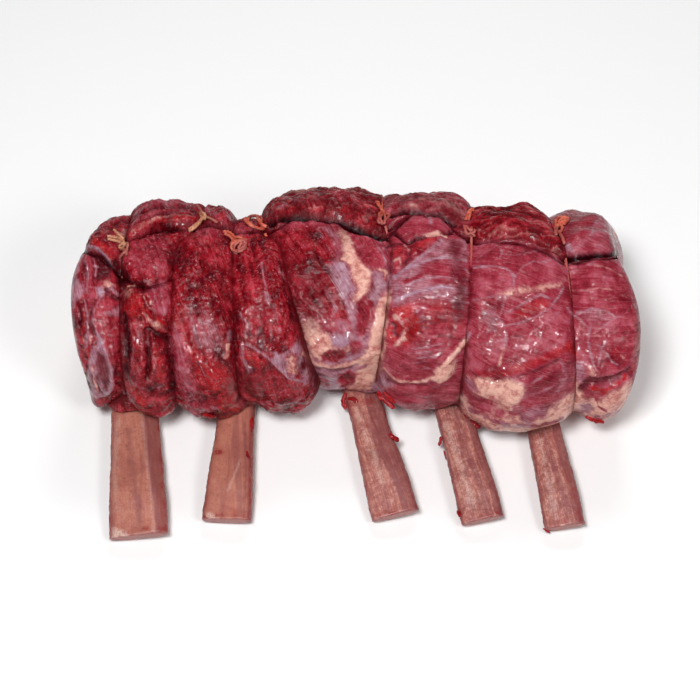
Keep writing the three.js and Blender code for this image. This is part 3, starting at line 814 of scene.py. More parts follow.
SIXTH_LOBE_MARKS: tuple[Mark, ...] = (
    # Lumps of red muscle above a sheet of silver skin, a sawn rib end in bright muscle, and a fat streak.
    bright((392, 306), (412, 300), (440, 297), (468, 303), (468, 345), (440, 366), (400, 374), (386, 368),
        level=0.5, ragged=1.5, soft=3),
    bright((392, 308), (408, 304), (414, 318), (410, 336), (402, 346), (388, 344), level=0.85, ragged=1.5,
        soft=2),
    veil((410, 336), (440, 330), (466, 336), (440, 362), (410, 372), (388, 368), (394, 350), level=0.7,
        strength=0.7, ragged=2, soft=4),
    silver((393, 278), (410, 265), (425, 253), (440, 241), (452, 237), (467, 237), (469, 262), (469, 302),
        (452, 303), (430, 297), (408, 303), (393, 307), level=0.56, ragged=0.7, relief=0.3),
    bright((432, 262), (462, 266), (464, 282), (436, 282), (424, 272), level=0.3, ragged=1.5, soft=3),
    silver((394, 277), (410, 265), (425, 253), (442, 240), width=2.2, level=0.9, ragged=0.4, relief=0.4),
    silver((396, 300), (416, 292), (440, 287), (466, 290), width=1.7, level=0.95, ragged=0.5),
    silver((395, 290), (416, 281), (440, 277), (466, 281), width=1, level=0.85, ragged=0.5),
    silver((400, 272), (422, 262), (444, 257), (466, 261), width=1.3, level=0.95, ragged=0.4),
    veil((404, 283), (430, 272), (466, 272), width=1.4, level=0.8, ragged=0.6),
    silver((456, 262), (463, 268), (469, 274), width=1, level=0.8, ragged=0.4),
    silver((452, 300), (462, 303), (469, 303), width=1.2, level=0.9, ragged=0.4, relief=0.4),
    form((400, 231), (412, 218), (424, 217), (428, 228), (416, 239), soft=1.6, relief=3.2),
    form((428, 219), (440, 219), (451, 229), (440, 234), (428, 232), soft=1.6, relief=3),
    # Painted shadow in the creases between and under the lumps.
    dark((427, 217), (429, 226), (427, 234), width=1.2, strength=0.6, relief=-1.2),
    veil((398, 234), (413, 216), (440, 218), (453, 230), (438, 235), (414, 242), level=0.8, ragged=0.8, soft=2),
    dark((396, 235), (408, 243), (424, 238), (440, 235), (452, 231), width=1.7, strength=0.9, ragged=0.6,
        soft=0.6, relief=-2),
    bright((411, 246), (426, 238), (440, 238), (432, 246), (418, 256), (410, 256), level=0.6, ragged=0.8,
        relief=2.4),
    bright((390, 252), (400, 244), (408, 250), (406, 262), (394, 272), level=0.6, relief=2),
    dark((388, 246), (398, 243), (408, 248), (410, 258), (402, 268), width=1.2, strength=0.7, relief=-1.4),
    form((385, 232), (396, 232), (398, 242), (390, 246), soft=3, relief=1.6),
    fat((428, 236), (437, 234), (446, 236), width=1.8, level=0.8, ragged=0.6, relief=0.8),
    fat((405, 246), (409, 250), width=2, level=0.7, ragged=0.8, relief=0.8),
    fat((394, 262), (399, 260), (401, 265), width=1.8, level=0.65, ragged=0.9, relief=0.7),
    silver((429, 220), (431, 226), width=2.2, level=0.7, ragged=0.6),
    bright((402, 312), (416, 320), (422, 330), (412, 340), (400, 348), (398, 336), level=0.95, ragged=1.4,
        soft=1.6),
    fat((393, 316), (400, 322), (405, 330), width=2.2, level=0.5, ragged=1.5, relief=0.8),
    fat((405, 331), (402, 339), (396, 345), width=2.8, level=0.6, ragged=1.5, relief=0.8),
    bright((390, 323), (397, 321), (400, 330), (397, 338), (391, 338), (388, 330), level=0.8, ragged=0.6,
        relief=-0.6),
    dark((391, 324), (396, 326), (394, 332), (397, 336), width=2.2, strength=0.65, ragged=1.2, relief=-0.9),
    bright((404, 327), (407, 331), width=1.2, level=0.8, ragged=0.5),
    silver((416, 312), (425, 306), (422, 318), width=1.4, level=0.6, ragged=1.2),
    # Short pale streaks: painted glints on the wet muscle below the rib end.
    silver((412, 348), (428, 347), (444, 343), width=1, level=0.7, ragged=0.7, relief=0.3),
    silver((408, 353), (426, 352), (446, 349), width=0.9, level=0.65, ragged=0.7, relief=0.3),
    silver((416, 358), (440, 356), width=0.9, level=0.65, ragged=0.7, relief=0.3),
    silver((410, 363), (432, 361), width=0.8, level=0.6, ragged=0.7, relief=0.3),
    silver((418, 369), (434, 367), width=0.8, level=0.55, ragged=0.7, relief=0.3),
    silver((420, 355), (438, 352), width=1, level=0.5),
    silver((410, 364), (420, 362), width=0.8, level=0.5, ragged=0.8),
    dark((424, 322), (434, 324), width=1.6, strength=0.35, ragged=1.2, relief=-0.5),
    silver((469, 334), (464, 344), (456, 353), (448, 362), width=3, level=0.75, ragged=0.7, relief=0.6),
    fat((466, 340), (458, 350), (448, 360), (440, 368), width=2.2, level=0.85, ragged=0.7, relief=0.7),
    fat((434, 371), (442, 366), (456, 360), (454, 370), (449, 378), (441, 383), (435, 379), ragged=0.7,
        relief=1.8),
    fat((384, 368), (391, 376), (400, 381), (412, 381), (424, 379), (433, 377), width=1.7, level=0.8,
        ragged=0.4, relief=0.7),
    dark((388, 379), (402, 385), (424, 383), (436, 382), width=1.1, strength=0.55, ragged=0.3, relief=-0.8),
    dark((383, 371), (389, 377), width=3, strength=0.35, ragged=0.6, relief=-0.4),
    form((386, 384), (430, 386), (462, 376), (466, 392), (440, 402), (400, 404), (386, 396), soft=4,
        relief=1.4),
    veil((384, 386), (430, 386), (464, 372), (466, 400), (400, 410), (382, 400), level=0.75),
    silver((380, 384), (388, 396), (400, 404), width=1.4, level=0.55, ragged=0.5),
    bright((380, 392), (392, 398), (398, 406), (384, 408), level=0.9, relief=0.6),
    # Dried flesh over its back, and painted shadow in the creases along it.
    crust((384, 208), (400, 203), (430, 206), (452, 214), (468, 226), (468, 208), (440, 194), (400, 190),
        (384, 194), level=0.65, ragged=2.4, soft=2.5, relief=0.8),
    fat((411, 206), (417, 208), width=3.2, level=0.6, ragged=0.7, relief=0.9),
    dark((390, 214), (404, 209), (420, 212), (440, 213), (454, 222), width=2.6, strength=0.95, ragged=0.8,
        relief=-2.6),
    dark((388, 238), (396, 229), (406, 219), (414, 214), width=1.6, strength=0.85, ragged=0.8, relief=-1.6),
)

SEVENTH_LOBE_MARKS: tuple[Mark, ...] = (
    # Smooth veiled muscle with a net of vessels, a fat band, a bright lens and a fat underside.
    silver((474, 268), (490, 266), (505, 268), (513, 275), (514, 284), (506, 293), (498, 298), width=1.5,
        level=0.75, ragged=0.5, relief=0.4),
    silver((476, 262), (490, 262), (500, 258), (502, 251), (497, 245), width=0.9, level=0.65, ragged=0.5,
        relief=0.3),
    silver((497, 245), (488, 251), (476, 260), width=0.8, level=0.6, ragged=0.5),
    silver((497, 245), (503, 254), (512, 256), (530, 254), (546, 249), (556, 250), width=1, level=0.65,
        ragged=0.5, relief=0.3),
    silver((497, 246), (502, 240), width=0.8, level=0.6, ragged=0.4),
    silver((514, 278), (522, 268), (532, 263), (545, 262), (558, 259), width=1.3, level=0.7, ragged=0.6,
        relief=0.3),
    silver((552, 248), (556, 260), (562, 268), width=1.2, level=0.6, ragged=0.5),
    silver((480, 288), (494, 284), (506, 280), width=0.9, level=0.5, ragged=0.8),
    silver((474, 300), (490, 297), (502, 295), width=1.6, level=0.6, ragged=0.9),
    fat((498, 294), (508, 290), (524, 286), (545, 283), (562, 282), (562, 287), (545, 290), (526, 293),
        (506, 298), level=0.62, ragged=0.5, relief=0.7),
    silver((505, 297), (503, 308), (499, 318), (505, 328), (507, 338), (504, 350), width=1.8, level=0.65,
        ragged=0.7, relief=0.4),
    bright((508, 318), (516, 310), (528, 302), (541, 297), (550, 301), (548, 308), (536, 315), (522, 321),
        level=0.62, ragged=0.6, relief=0.4),
    silver((507, 312), (520, 305), (530, 299), (541, 295), (550, 299), width=1.2, level=0.8, ragged=0.4,
        relief=0.5),
    silver((507, 325), (520, 323), (535, 317), (549, 308), (559, 297), (563, 288), width=1.5, level=0.75,
        ragged=0.5, relief=0.5),
    silver((512, 330), (526, 326), width=0.9, level=0.5, ragged=0.5),
    silver((515, 338), (530, 334), (545, 323), (560, 312), width=1, level=0.6, ragged=0.5, relief=0.3),
    silver((476, 346), (490, 343), (506, 339), (520, 336), width=1, level=0.5, ragged=0.8),
    silver((476, 336), (488, 332), (502, 326), width=1, level=0.5, ragged=0.8),
    silver((478, 352), (490, 354), width=0.9, level=0.45, ragged=0.6),
    silver((482, 308), (496, 306), (503, 316), (500, 328), (488, 330), (480, 320), level=0.5, ragged=2,
        soft=2.5),
    silver((498, 352), (516, 348), width=1.6, level=0.45),
    fat((504, 349), (501, 357), (498, 366), width=2.4, level=0.6, ragged=0.5, relief=0.6),
    silver((540, 352), (556, 344), (568, 338), width=0.8, level=0.5, ragged=0.4),
    veil((462, 374), (572, 352), (574, 420), (520, 432), (470, 420), (456, 396), level=0.95),
    bright((471, 366), (484, 369), (500, 368), (520, 362), (540, 354), (560, 345), (571, 338), (574, 350),
        (556, 358), (536, 367), (514, 374), (494, 378), (476, 376), level=0.6, ragged=0.6, relief=0.3),
    dark((476, 378), (496, 380), (516, 376), (538, 369), (560, 359), width=1.2, strength=0.6, ragged=0.4,
        relief=-1.4),
    dark((528, 386), (548, 374), (568, 364), (572, 380), (560, 391), (540, 397), (524, 397), strength=0.32,
        soft=1.6),
    fat((466, 375), (490, 378), (502, 390), (488, 393), (472, 387), level=0.8, ragged=1.4, relief=0.6),
    fat((498, 394), (512, 397), (506, 411), (496, 408), level=0.8, ragged=1.2, relief=0.5),
    fat((476, 379), (494, 380), (512, 378), (524, 384), (526, 394), (518, 402), (510, 408), (503, 404),
        (494, 396), (482, 392), level=0.95, ragged=1.6, relief=1),
    fat((506, 400), (511, 410), width=2.2, level=0.95, ragged=0.5, relief=0.8),
    silver((526, 384), (540, 378), (552, 370), width=1.4, level=0.7),
    silver((524, 396), (538, 393), (552, 387), (560, 380), width=1.2, level=0.6),
    silver((562, 362), (566, 376), (558, 392), width=3, level=0.5),
    silver((463, 376), (474, 380), (480, 392), (468, 392), level=0.6),
    dark((472, 396), (482, 401), (486, 397), width=2, strength=0.35, ragged=0.6, relief=-0.5),
    fat((470, 390), (482, 394), (496, 402), width=1.6, level=0.7, ragged=0.8, relief=0.5),
    fat((484, 400), (500, 396), (506, 406), (496, 410), level=0.4, ragged=1.4),
    fat((457, 394), (462, 392), (470, 404), (482, 413), (500, 417), (520, 416), (540, 412), (556, 404),
        (566, 394), (576, 392), (575, 408), (566, 422), (540, 431), (508, 433), (480, 426), (462, 412),
        level=0.85, ragged=1.2, relief=0.9),
    silver((470, 408), (488, 418), (512, 424), (540, 424), (562, 416), width=1.8, level=0.5, ragged=1.4),
    silver((520, 412), (532, 406), (548, 406), (546, 414), (532, 420), (522, 419), level=0.55, ragged=1.2,
        relief=0.6),
    # Fibrous flesh over its back, above a gap of painted shadow.
    dark((468, 241), (474, 236.5), (490, 234), (510, 234.5), (530, 239), (547, 246.5), (560, 255), (568, 264),
        width=1.7, ragged=0.4, soft=0.5, relief=-1.2),
    dark((530, 238), (545, 244), (556, 251), (564, 259), width=2.6, ragged=0.4, soft=0.6, relief=-1),
    veil((470, 204), (562, 204), (566, 258), (520, 238), (470, 238), level=0.12, ragged=0.6, soft=1.5),
    crust((478, 208), (500, 203), (524, 206), (546, 222), (558, 240), (548, 236), (530, 218), (500, 211),
        level=0.25, ragged=2.2, soft=2.5, relief=0.5),
    dark((486, 214), (506, 209), (526, 215), (544, 228), width=0.9, strength=0.5, ragged=0.9, relief=-0.6),
    dark((496, 208), (516, 208), (534, 216), width=0.9, strength=0.5, ragged=0.9, relief=-0.6),
    fat((490, 228), (500, 225), (516, 228), (532, 234), (546, 242), width=1.1, level=0.3, ragged=1.6),
)

RIGHT_END_MARKS: tuple[Mark, ...] = (
    # Smooth banded muscle, a net of fascia, a darker muscle below it, a torn crack with painted shadow and a fat
    # underside.
    fat((566, 263), (580, 262), (592, 264), (606, 267), (622, 276), width=1.1, level=0.42, ragged=0.4,
        relief=0.5),
    silver((566, 272), (580, 268), (594, 262), width=1.3, level=0.6, ragged=0.5, relief=0.4),
    fat((566, 292), (580, 290), (600, 288), (614, 290), (624, 296), width=1, level=0.4, ragged=0.4, relief=0.5),
    silver((601, 272), (604, 278), (603, 284), width=0.9, level=0.6, ragged=0.4),
    silver((567, 308), (572, 314), (580, 319), (588, 327), width=1.4, level=0.75, ragged=0.4, relief=0.5),
    silver((576, 313), (590, 309), (604, 309), (616, 317), (608, 323), (598, 329), (590, 327), (582, 319),
        level=0.4, ragged=0.7),
    silver((577, 313), (590, 309), (605, 310), (616, 317), (606, 324), (596, 331), width=1.2, level=0.75,
        ragged=0.5, relief=0.4),
    silver((590, 327), (588, 340), (590, 352), (594, 364), (599, 372), width=1.7, level=0.75, ragged=0.5,
        relief=0.4),
    silver((614, 327), (607, 338), (602, 350), (598, 364), width=1.7, level=0.8, ragged=0.5, relief=0.5),
    silver((588, 342), (596, 344), (604, 348), width=0.9, level=0.6, ragged=0.5),
    silver((616, 318), (624, 315), (632, 306), width=1, level=0.5, ragged=0.5),
    bright((594, 332), (602, 328), (606, 334), (602, 342), (594, 342), level=0.3, ragged=0.6),
    veil((608, 334), (620, 324), (630, 328), (633, 345), (630, 362), (618, 374), (602, 378), (601, 364),
        (604, 350), level=0.7, ragged=0.7, relief=0.9),
    bright((610, 338), (622, 330), (629, 345), (624, 362), (612, 370), (606, 356), level=0.4, ragged=1.2,
        soft=1.6),
    silver((607, 352), (611, 359), (617, 362), width=1.1, level=0.85, ragged=0.3, relief=0.4),
    silver((614, 343), (622, 338), width=1, level=0.6, ragged=0.6),
    fat((621, 354), (623, 356), width=1.6, level=0.7, ragged=0.4),
    bright((568, 338), (576, 348), (580, 360), (572, 356), (567, 348), level=0.8, ragged=0.8),
    silver((573, 362), (583, 360), (588, 372), (584, 384), (576, 384), level=0.75, ragged=0.8, relief=0.3),
    fat((586, 364), (596, 368), (598, 376), (590, 378), level=0.7, ragged=0.8, relief=0.6),
    fat((575, 378), (581, 390), (583, 398), (577, 398), level=0.85, ragged=0.8, relief=0.6),
    dark((583, 388), (590, 381), (604, 380), (618, 377), (630, 371), width=4.2, strength=0.65, ragged=1.2,
        soft=1.6, relief=-2.8),
    bright((592, 388), (604, 391), (616, 386), (624, 378), width=3.4, level=0.75, ragged=1.2, relief=0.3),
    fat((577, 396), (590, 397), (603, 398), (612, 391), (622, 385), (632, 378), (636, 390), (632, 406),
        (620, 414), (600, 420), (582, 416), (576, 406), level=0.9, relief=1),
    bright((596, 396), (598, 404), (606, 410), width=0.8, level=0.35, ragged=0.5),
    silver((580, 403), (588, 401), (594, 407), (590, 412), (582, 411), level=0.75, ragged=0.7, relief=-0.4),
    silver((596, 416), (612, 413), (624, 408), width=1.2, level=0.4, ragged=0.8),
    crust((630, 300), (638, 316), (645, 330), (645, 380), (634, 386), (632, 360), (634, 336), level=0.6,
        ragged=1.6, soft=1.5, relief=0.7),
    bright((632, 372), (636, 362), width=2.6, level=0.6, ragged=1.4),
    bright((625, 256), (628, 268), (627, 276), width=2.8, level=0.9, ragged=0.6, relief=0.6),
    fat((626, 260), (628, 270), width=1.2, level=0.4, ragged=0.6),
    # The round muscle over its back, with grey fascia on its right half and a black gap of painted shadow below.
    dark((560, 258), (572, 255), (586, 253.5), (603, 251), (618, 249.5), (628, 252), (630, 256), (618, 255),
        (604, 257), (586, 259.5), (570, 262), ragged=0.3, soft=0.35, relief=-1.6),
    dark((562, 226), (586, 208), (600, 214), (596, 240), (576, 248), strength=0.42, ragged=1.5, soft=3),
    bright((572, 222), (586, 214), (598, 216), (594, 232), (580, 246), (570, 244), level=0.35, ragged=1.2,
        soft=2),
    silver((596, 212), (608, 214), (618, 228), (622, 250), (606, 250), (592, 250), (590, 236), level=0.36),
    silver((571, 251), (583, 245), (591, 238), (594, 226), (602, 216), width=1.3, level=0.75, ragged=0.5,
        relief=0.4),
    silver((600, 226), (612, 226), width=1.2, level=0.6, ragged=0.6),
    silver((564, 243), (571, 246), (576, 253), (566, 254), level=0.8, ragged=0.6, relief=0.3),
)

SHADE_MARKS: tuple[Mark, ...] = (
    # Wide soft painted shade between the lobes and on the fifth one, and painted sheen over the third one's top.
    dark((292, 264), (314, 260), (334, 278), (328, 302), (316, 330), (302, 330), (294, 300), strength=0.38,
        ragged=2, soft=3.4),
    dark((328, 226), (346, 222), (350, 244), (338, 252), strength=0.25, ragged=1.4, soft=2.4),
    dark((454, 246), (458, 270), (461, 290), (460, 314), width=7, strength=0.5, ragged=1.4, soft=3),
    dark((250, 302), (268, 300), (272, 318), (256, 322), strength=0.34, ragged=1.8, soft=2.8),
    dark((288, 290), (290, 306), (294, 322), width=5, strength=0.3, ragged=1.4, soft=2.6),
    dark((184, 304), (214, 300), (218, 320), (190, 322), strength=0.22, ragged=1.8, soft=2.8),
    dark((236, 374), (262, 376), (264, 392), (240, 394), strength=0.34, ragged=1.6, soft=2.4),
    dark((130, 374), (158, 376), (156, 392), (134, 392), strength=0.3, ragged=1.6, soft=2.4),
    dark((220, 270), (224, 286), (226, 300), width=5, strength=0.28, ragged=1.4, soft=2.4),
    veil((184, 224), (216, 219), (254, 222), (262, 236), (232, 240), (190, 238), level=0.55, ragged=1.6,
        soft=2.4),
)

MEAT_MARKS: tuple[Mark, ...] = (
    LEFT_END_MARKS + SECOND_LOBE_MARKS + THIRD_LOBE_MARKS + FOURTH_LOBE_MARKS
    + FIFTH_LOBE_MARKS + SIXTH_LOBE_MARKS + SEVENTH_LOBE_MARKS + RIGHT_END_MARKS
    + SHADE_MARKS)


def put(name: str, around: int, rings: int) -> bpy.types.Object:
    """Add a sheet with many faces, ready to be rolled up into a closed form.

    Args:
        name: Name of the new piece.
        around: Faces round the form.
        rings: Faces from one end of it to the other.

    Returns:
        The flat sheet.
    """
    bpy.ops.object.select_all(action="DESELECT")
    bpy.ops.mesh.primitive_grid_add(
        x_subdivisions=around, y_subdivisions=rings, size=2, calc_uvs=False, location=(0, 0, 0))
    piece = bpy.context.active_object
    piece.name = piece.data.name = name
    return piece


def choose(*pieces: bpy.types.Object) -> bpy.types.Object:
    """Select pieces alone and make the first the active one.

    Args:
        *pieces: The pieces.

    Returns:
        The first piece.
    """
    bpy.ops.object.select_all(action="DESELECT")
    for piece in pieces:
        piece.select_set(True)
    bpy.context.view_layer.objects.active = pieces[0]
    return pieces[0]


def sheet_places(piece: bpy.types.Object, rings: int, first_turn: float = -math.pi) -> tuple[np.ndarray, np.ndarray]:
    """Read where each vertex of a fresh sheet goes once it is rolled up.

    Args:
        piece: The sheet.
        rings: Faces from end to end.
        first_turn: Turn at which the sheet's seam lies.

    Returns:
        The ring number and the turn in radians of each vertex.
    """
    spots = np.empty(len(piece.data.vertices) * 3, np.float32)
    piece.data.vertices.foreach_get("co", spots)
    spots = spots.reshape(-1, 3).astype(float)
    return np.rint((1 - spots[:, 1]) / 2 * rings), first_turn + (spots[:, 0] + 1) * math.pi


def close_up(piece: bpy.types.Object) -> None:
    """Weld a rolled-up sheet's seam and its two ends.

    Args:
        piece: The moulded sheet.
    """
    choose(piece)
    bpy.ops.object.mode_set(mode="EDIT")
    bpy.ops.mesh.select_all(action="SELECT")
    bpy.ops.mesh.remove_doubles(threshold=WELD_METRES)
    bpy.ops.object.mode_set(mode="OBJECT")


def mould(piece: bpy.types.Object, points: np.ndarray) -> None:
    """Move a piece's vertices to points in millimetres and smooth its shading.

    Args:
        piece: The piece.
        points: The new place of each vertex.
    """
    piece.data.vertices.foreach_set("co", (points * MM).astype(np.float32).ravel())
    piece.data.update()
    choose(piece)
    bpy.ops.object.shade_smooth()


def hand_over(piece: bpy.types.Object, finish: bpy.types.Material, node: str) -> bpy.types.Object:
    """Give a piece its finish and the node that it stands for.

    Args:
        piece: The moulded piece.
        finish: Its material.
        node: The solid that it replaces.

    Returns:
        The finished piece.
    """
    piece.data.materials.append(finish)
    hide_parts(node)
    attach(piece, "root")
    return piece


def stain(piece: bpy.types.Object, name: str, values: np.ndarray) -> None:
    """Store one value for each vertex under a name that the finishes read."""
    layer = piece.data.attributes.new(name, "FLOAT", "POINT")
    layer.data.foreach_set("value", values.astype(np.float32))


def lay_grain(piece: bpy.types.Object, along: np.ndarray, across: np.ndarray) -> None:
    """Store the millimetres along and across the grain as the piece's own map.

    Args:
        piece: The piece.
        along: Millimetres along the grain at each vertex.
        across: Millimetres across it.
    """
    layer = piece.data.uv_layers.new(name="grain")
    corner = np.empty(len(piece.data.loops), np.int32)
    piece.data.loops.foreach_get("vertex_index", corner)
    places = np.stack([along[corner], across[corner]], 1)
    layer.data.foreach_set("uv", places.astype(np.float32).ravel())


@dataclass(frozen=True)
class Wire:
    """A value on its way between shader nodes, which sums can be done with."""

    bench: "Bench"
    socket: bpy.types.NodeSocket

    def __add__(self, other: object) -> "Wire":
        """Add another value."""
        return self.bench.math("ADD", self, other)

    def __sub__(self, other: object) -> "Wire":
        """Take another value away."""
        return self.bench.math("SUBTRACT", self, other)

    def __rsub__(self, other: object) -> "Wire":
        """Take this away from another value."""
        return self.bench.math("SUBTRACT", other, self)

    def __mul__(self, other: object) -> "Wire":
        """Scale by another value."""
        return self.bench.math("MULTIPLY", self, other)

    def held(self) -> "Wire":
        """Keep the sum within 0 and 1."""
        self.socket.node.use_clamp = True
        return self

    def beside(self, output: int | str) -> "Wire":
        """Give another output of the same node."""
        return Wire(self.bench, self.socket.node.outputs[output])


class Bench:
    """A short way to lay out shader nodes."""

    def __init__(self, tree: bpy.types.NodeTree) -> None:
        """Work on one node tree."""
        self.tree = tree

    def feed(self, socket: bpy.types.NodeSocket, source: object) -> None:
        """Link a socket to a value, or set it.

        Args:
            socket: The socket.
            source: A wire to link, or a constant to set.
        """
        if isinstance(source, Wire):
            self.tree.links.new(source.socket, socket)
        else:
            socket.default_value = source

    def wire(self, kind: str, inputs: dict[int | str, object], output: int | str = 0, **settings: object) -> Wire:
        """Add a node.

        Args:
            kind: The kind of shader node.
            inputs: What feeds its sockets, by number or name.
            output: The output that is wanted.
            **settings: The node's own properties.

        Returns:
            The output.
        """
        node = self.tree.nodes.new(f"ShaderNode{kind}")
        for name, value in settings.items():
            setattr(node, name, value)
        for name, source in inputs.items():
            self.feed(node.inputs[name], source)
        return Wire(self, node.outputs[output])

    def math(self, kind: str, first: object, second: object = 0.0) -> Wire:
        """Work out a sum of two values."""
        return self.wire("Math", {0: first, 1: second}, operation=kind)

    def grade(self, value: object, low: object, high: object, to_low: float = 0.0, to_high: float = 1.0) -> Wire:
        """Grade a value smoothly between two limits."""
        inputs = dict(enumerate((value, low, high, to_low, to_high)))
        return self.wire("MapRange", inputs, interpolation_type="SMOOTHSTEP")

    def blend(self, share: object, first: object, second: object) -> Wire:
        """Mix two colours by a share."""
        return self.wire("Mix", {0: share, 6: first, 7: second}, 2, data_type="RGBA")

    def place(self) -> Wire:
        """Read the place on the piece in millimetres."""
        place = self.wire("TexCoord", {}, "Object")
        return self.wire("Mapping", {"Vector": place, "Scale": (1 / MM, 1 / MM, 1 / MM)})

    def grain(self) -> Wire:
        """Read the millimetres along and across the grain."""
        return self.wire("UVMap", {}, uv_map="grain")

    def cloud(self, place: Wire, scale: float, detail: float = 3.0, bend: float = 0.0, rough: float = 0.5) -> Wire:
        """Read a cloudy pattern."""
        inputs = {"Vector": place, "Scale": scale, "Detail": detail, "Roughness": rough, "Distortion": bend}
        return self.wire("TexNoise", inputs, "Fac")

    def stain(self, name: str) -> Wire:
        """Read a value stored on the vertices."""
        return self.wire("Attribute", {}, "Fac", attribute_type="GEOMETRY", attribute_name=name)

    def ramp(self, value: Wire, *stops: tuple[float, Colour]) -> Wire:
        """Turn a value into a colour by stops.

        Args:
            value: The value.
            *stops: Positions from 0 to 1, each with its colour.

        Returns:
            The colour.
        """
        colour = self.wire("ValToRGB", {0: value})
        ramp = colour.socket.node.color_ramp
        while len(ramp.elements) < len(stops):
            ramp.elements.new(0.5)
        for element, (position, paint_there) in zip(ramp.elements, stops):
            element.position, element.color = position, paint_there
        return colour

    def bump(self, height: Wire, strength: float, distance: float) -> Wire:
        """Turn a height into a normal."""
        return self.wire("Bump", {"Height": height, "Strength": strength, "Distance": distance})

    def shade(self, sockets: dict[str, object]) -> None:
        """Feed the sockets of the material's Principled shader."""
        for name, source in sockets.items():
            self.feed(self.tree.nodes["Principled BSDF"].inputs[name], source)


def new_group(name: str, inputs: dict[str, str], outputs: Sequence[str]) -> tuple[Bench, dict[str, Wire], list]:
    """Start a shader group.

    Args:
        name: Name of the group.
        inputs: Kind of each input, Float or Vector, by its name.
        outputs: Names of the outputs, which are numbers.

    Returns:
        A bench on its nodes, its inputs by name and its output sockets.
    """
    tree = bpy.data.node_groups.new(name, "ShaderNodeTree")
    for label, kind in inputs.items():
        tree.interface.new_socket(name=label, in_out="INPUT", socket_type=f"NodeSocket{kind}")
    for label in outputs:
        tree.interface.new_socket(name=label, in_out="OUTPUT", socket_type="NodeSocketFloat")
    bench = Bench(tree)
    given, result = tree.nodes.new("NodeGroupInput"), tree.nodes.new("NodeGroupOutput")
    return bench, {label: Wire(bench, given.outputs[label]) for label in inputs}, list(result.inputs)


def fibre_group() -> bpy.types.NodeTree:
    """Build the group for fibres that run along the grain.

    Returns:
        The group, with a fine and a broad streak from 0 to 1.
    """
    bench, given, result = new_group(
        "Fibres", {"Grain": "Vector", "Length": "Float", "Count": "Float"}, ("Fine", "Broad"))
    along = bench.wire("SeparateXYZ", {0: given["Grain"]})
    across = along.beside(1)
    place = bench.wire("CombineXYZ", {0: along * given["Length"], 1: across * given["Count"]})
    bench.feed(result[0], bench.cloud(place, 1.6, 4.0, 0.4, 0.6))
    bench.feed(result[1], bench.cloud(place, 0.35, 2.0, 0.6))
    return bench.tree


def net_group() -> bpy.types.NodeTree:
    """Build the group for the pale net of tissue between bundles of muscle.

    Returns:
        The group, with a mask from 0 to 1.
    """
    bench, given, result = new_group("Tissue Net", {"Place": "Vector", "Size": "Float", "Width": "Float"}, ("Net",))
    wobble = bench.wire("TexNoise", {"Vector": given["Place"], "Scale": 0.45, "Detail": 2.0}, "Color")
    pushed = bench.wire(
        "VectorMath", {0: wobble, 1: (3.5, 3.5, 3.5), 2: given["Place"]}, operation="MULTIPLY_ADD")
    cells = bench.wire(
        "TexVoronoi", {"Vector": pushed, "Scale": given["Size"]}, "Distance", feature="DISTANCE_TO_EDGE")
    line = bench.grade(cells, 0.0, given["Width"], 1.0, 0.0)
    broken = bench.grade(bench.cloud(given["Place"], 0.25, 2.0), 0.42, 0.62)
    bench.feed(result[0], line * broken)
    return bench.tree


@dataclass
class SharedPatterns:
    """The shader groups that several finishes use."""

    fibres: bpy.types.NodeTree = field(default_factory=fibre_group)
    net: bpy.types.NodeTree = field(default_factory=net_group)

    def use_fibres(self, bench: Bench, grain: Wire, length: float, count: float) -> tuple[Wire, Wire]:
        """Place the fibre group in a material.

        Args:
            bench: The material's bench.
            grain: The place along and across the grain.
            length: Factor along the grain, low for long fibres.
            count: Factor across it, high for many fibres.

        Returns:
            The fine and the broad streak, from 0 to 1.
        """
        inputs = {"Grain": grain, "Length": length, "Count": count}
        streak = bench.wire("Group", {}, node_tree=self.fibres)
        for name, source in inputs.items():
            bench.feed(streak.socket.node.inputs[name], source)
        return streak.beside("Fine"), streak.beside("Broad")

    def use_net(self, bench: Bench, place: Wire, size: float, width: float) -> Wire:
        """Place the net group in a material."""
        return bench.wire("Group", {"Place": place, "Size": size, "Width": width}, node_tree=self.net)


def new_material(name: str) -> tuple[bpy.types.Material, Bench]:
    """Start a material.

    Args:
        name: Name of the material.

    Returns:
        The material and a bench on its nodes.
    """
    material = bpy.data.materials.new(name)
    material.use_nodes = True
    return material, Bench(material.node_tree)


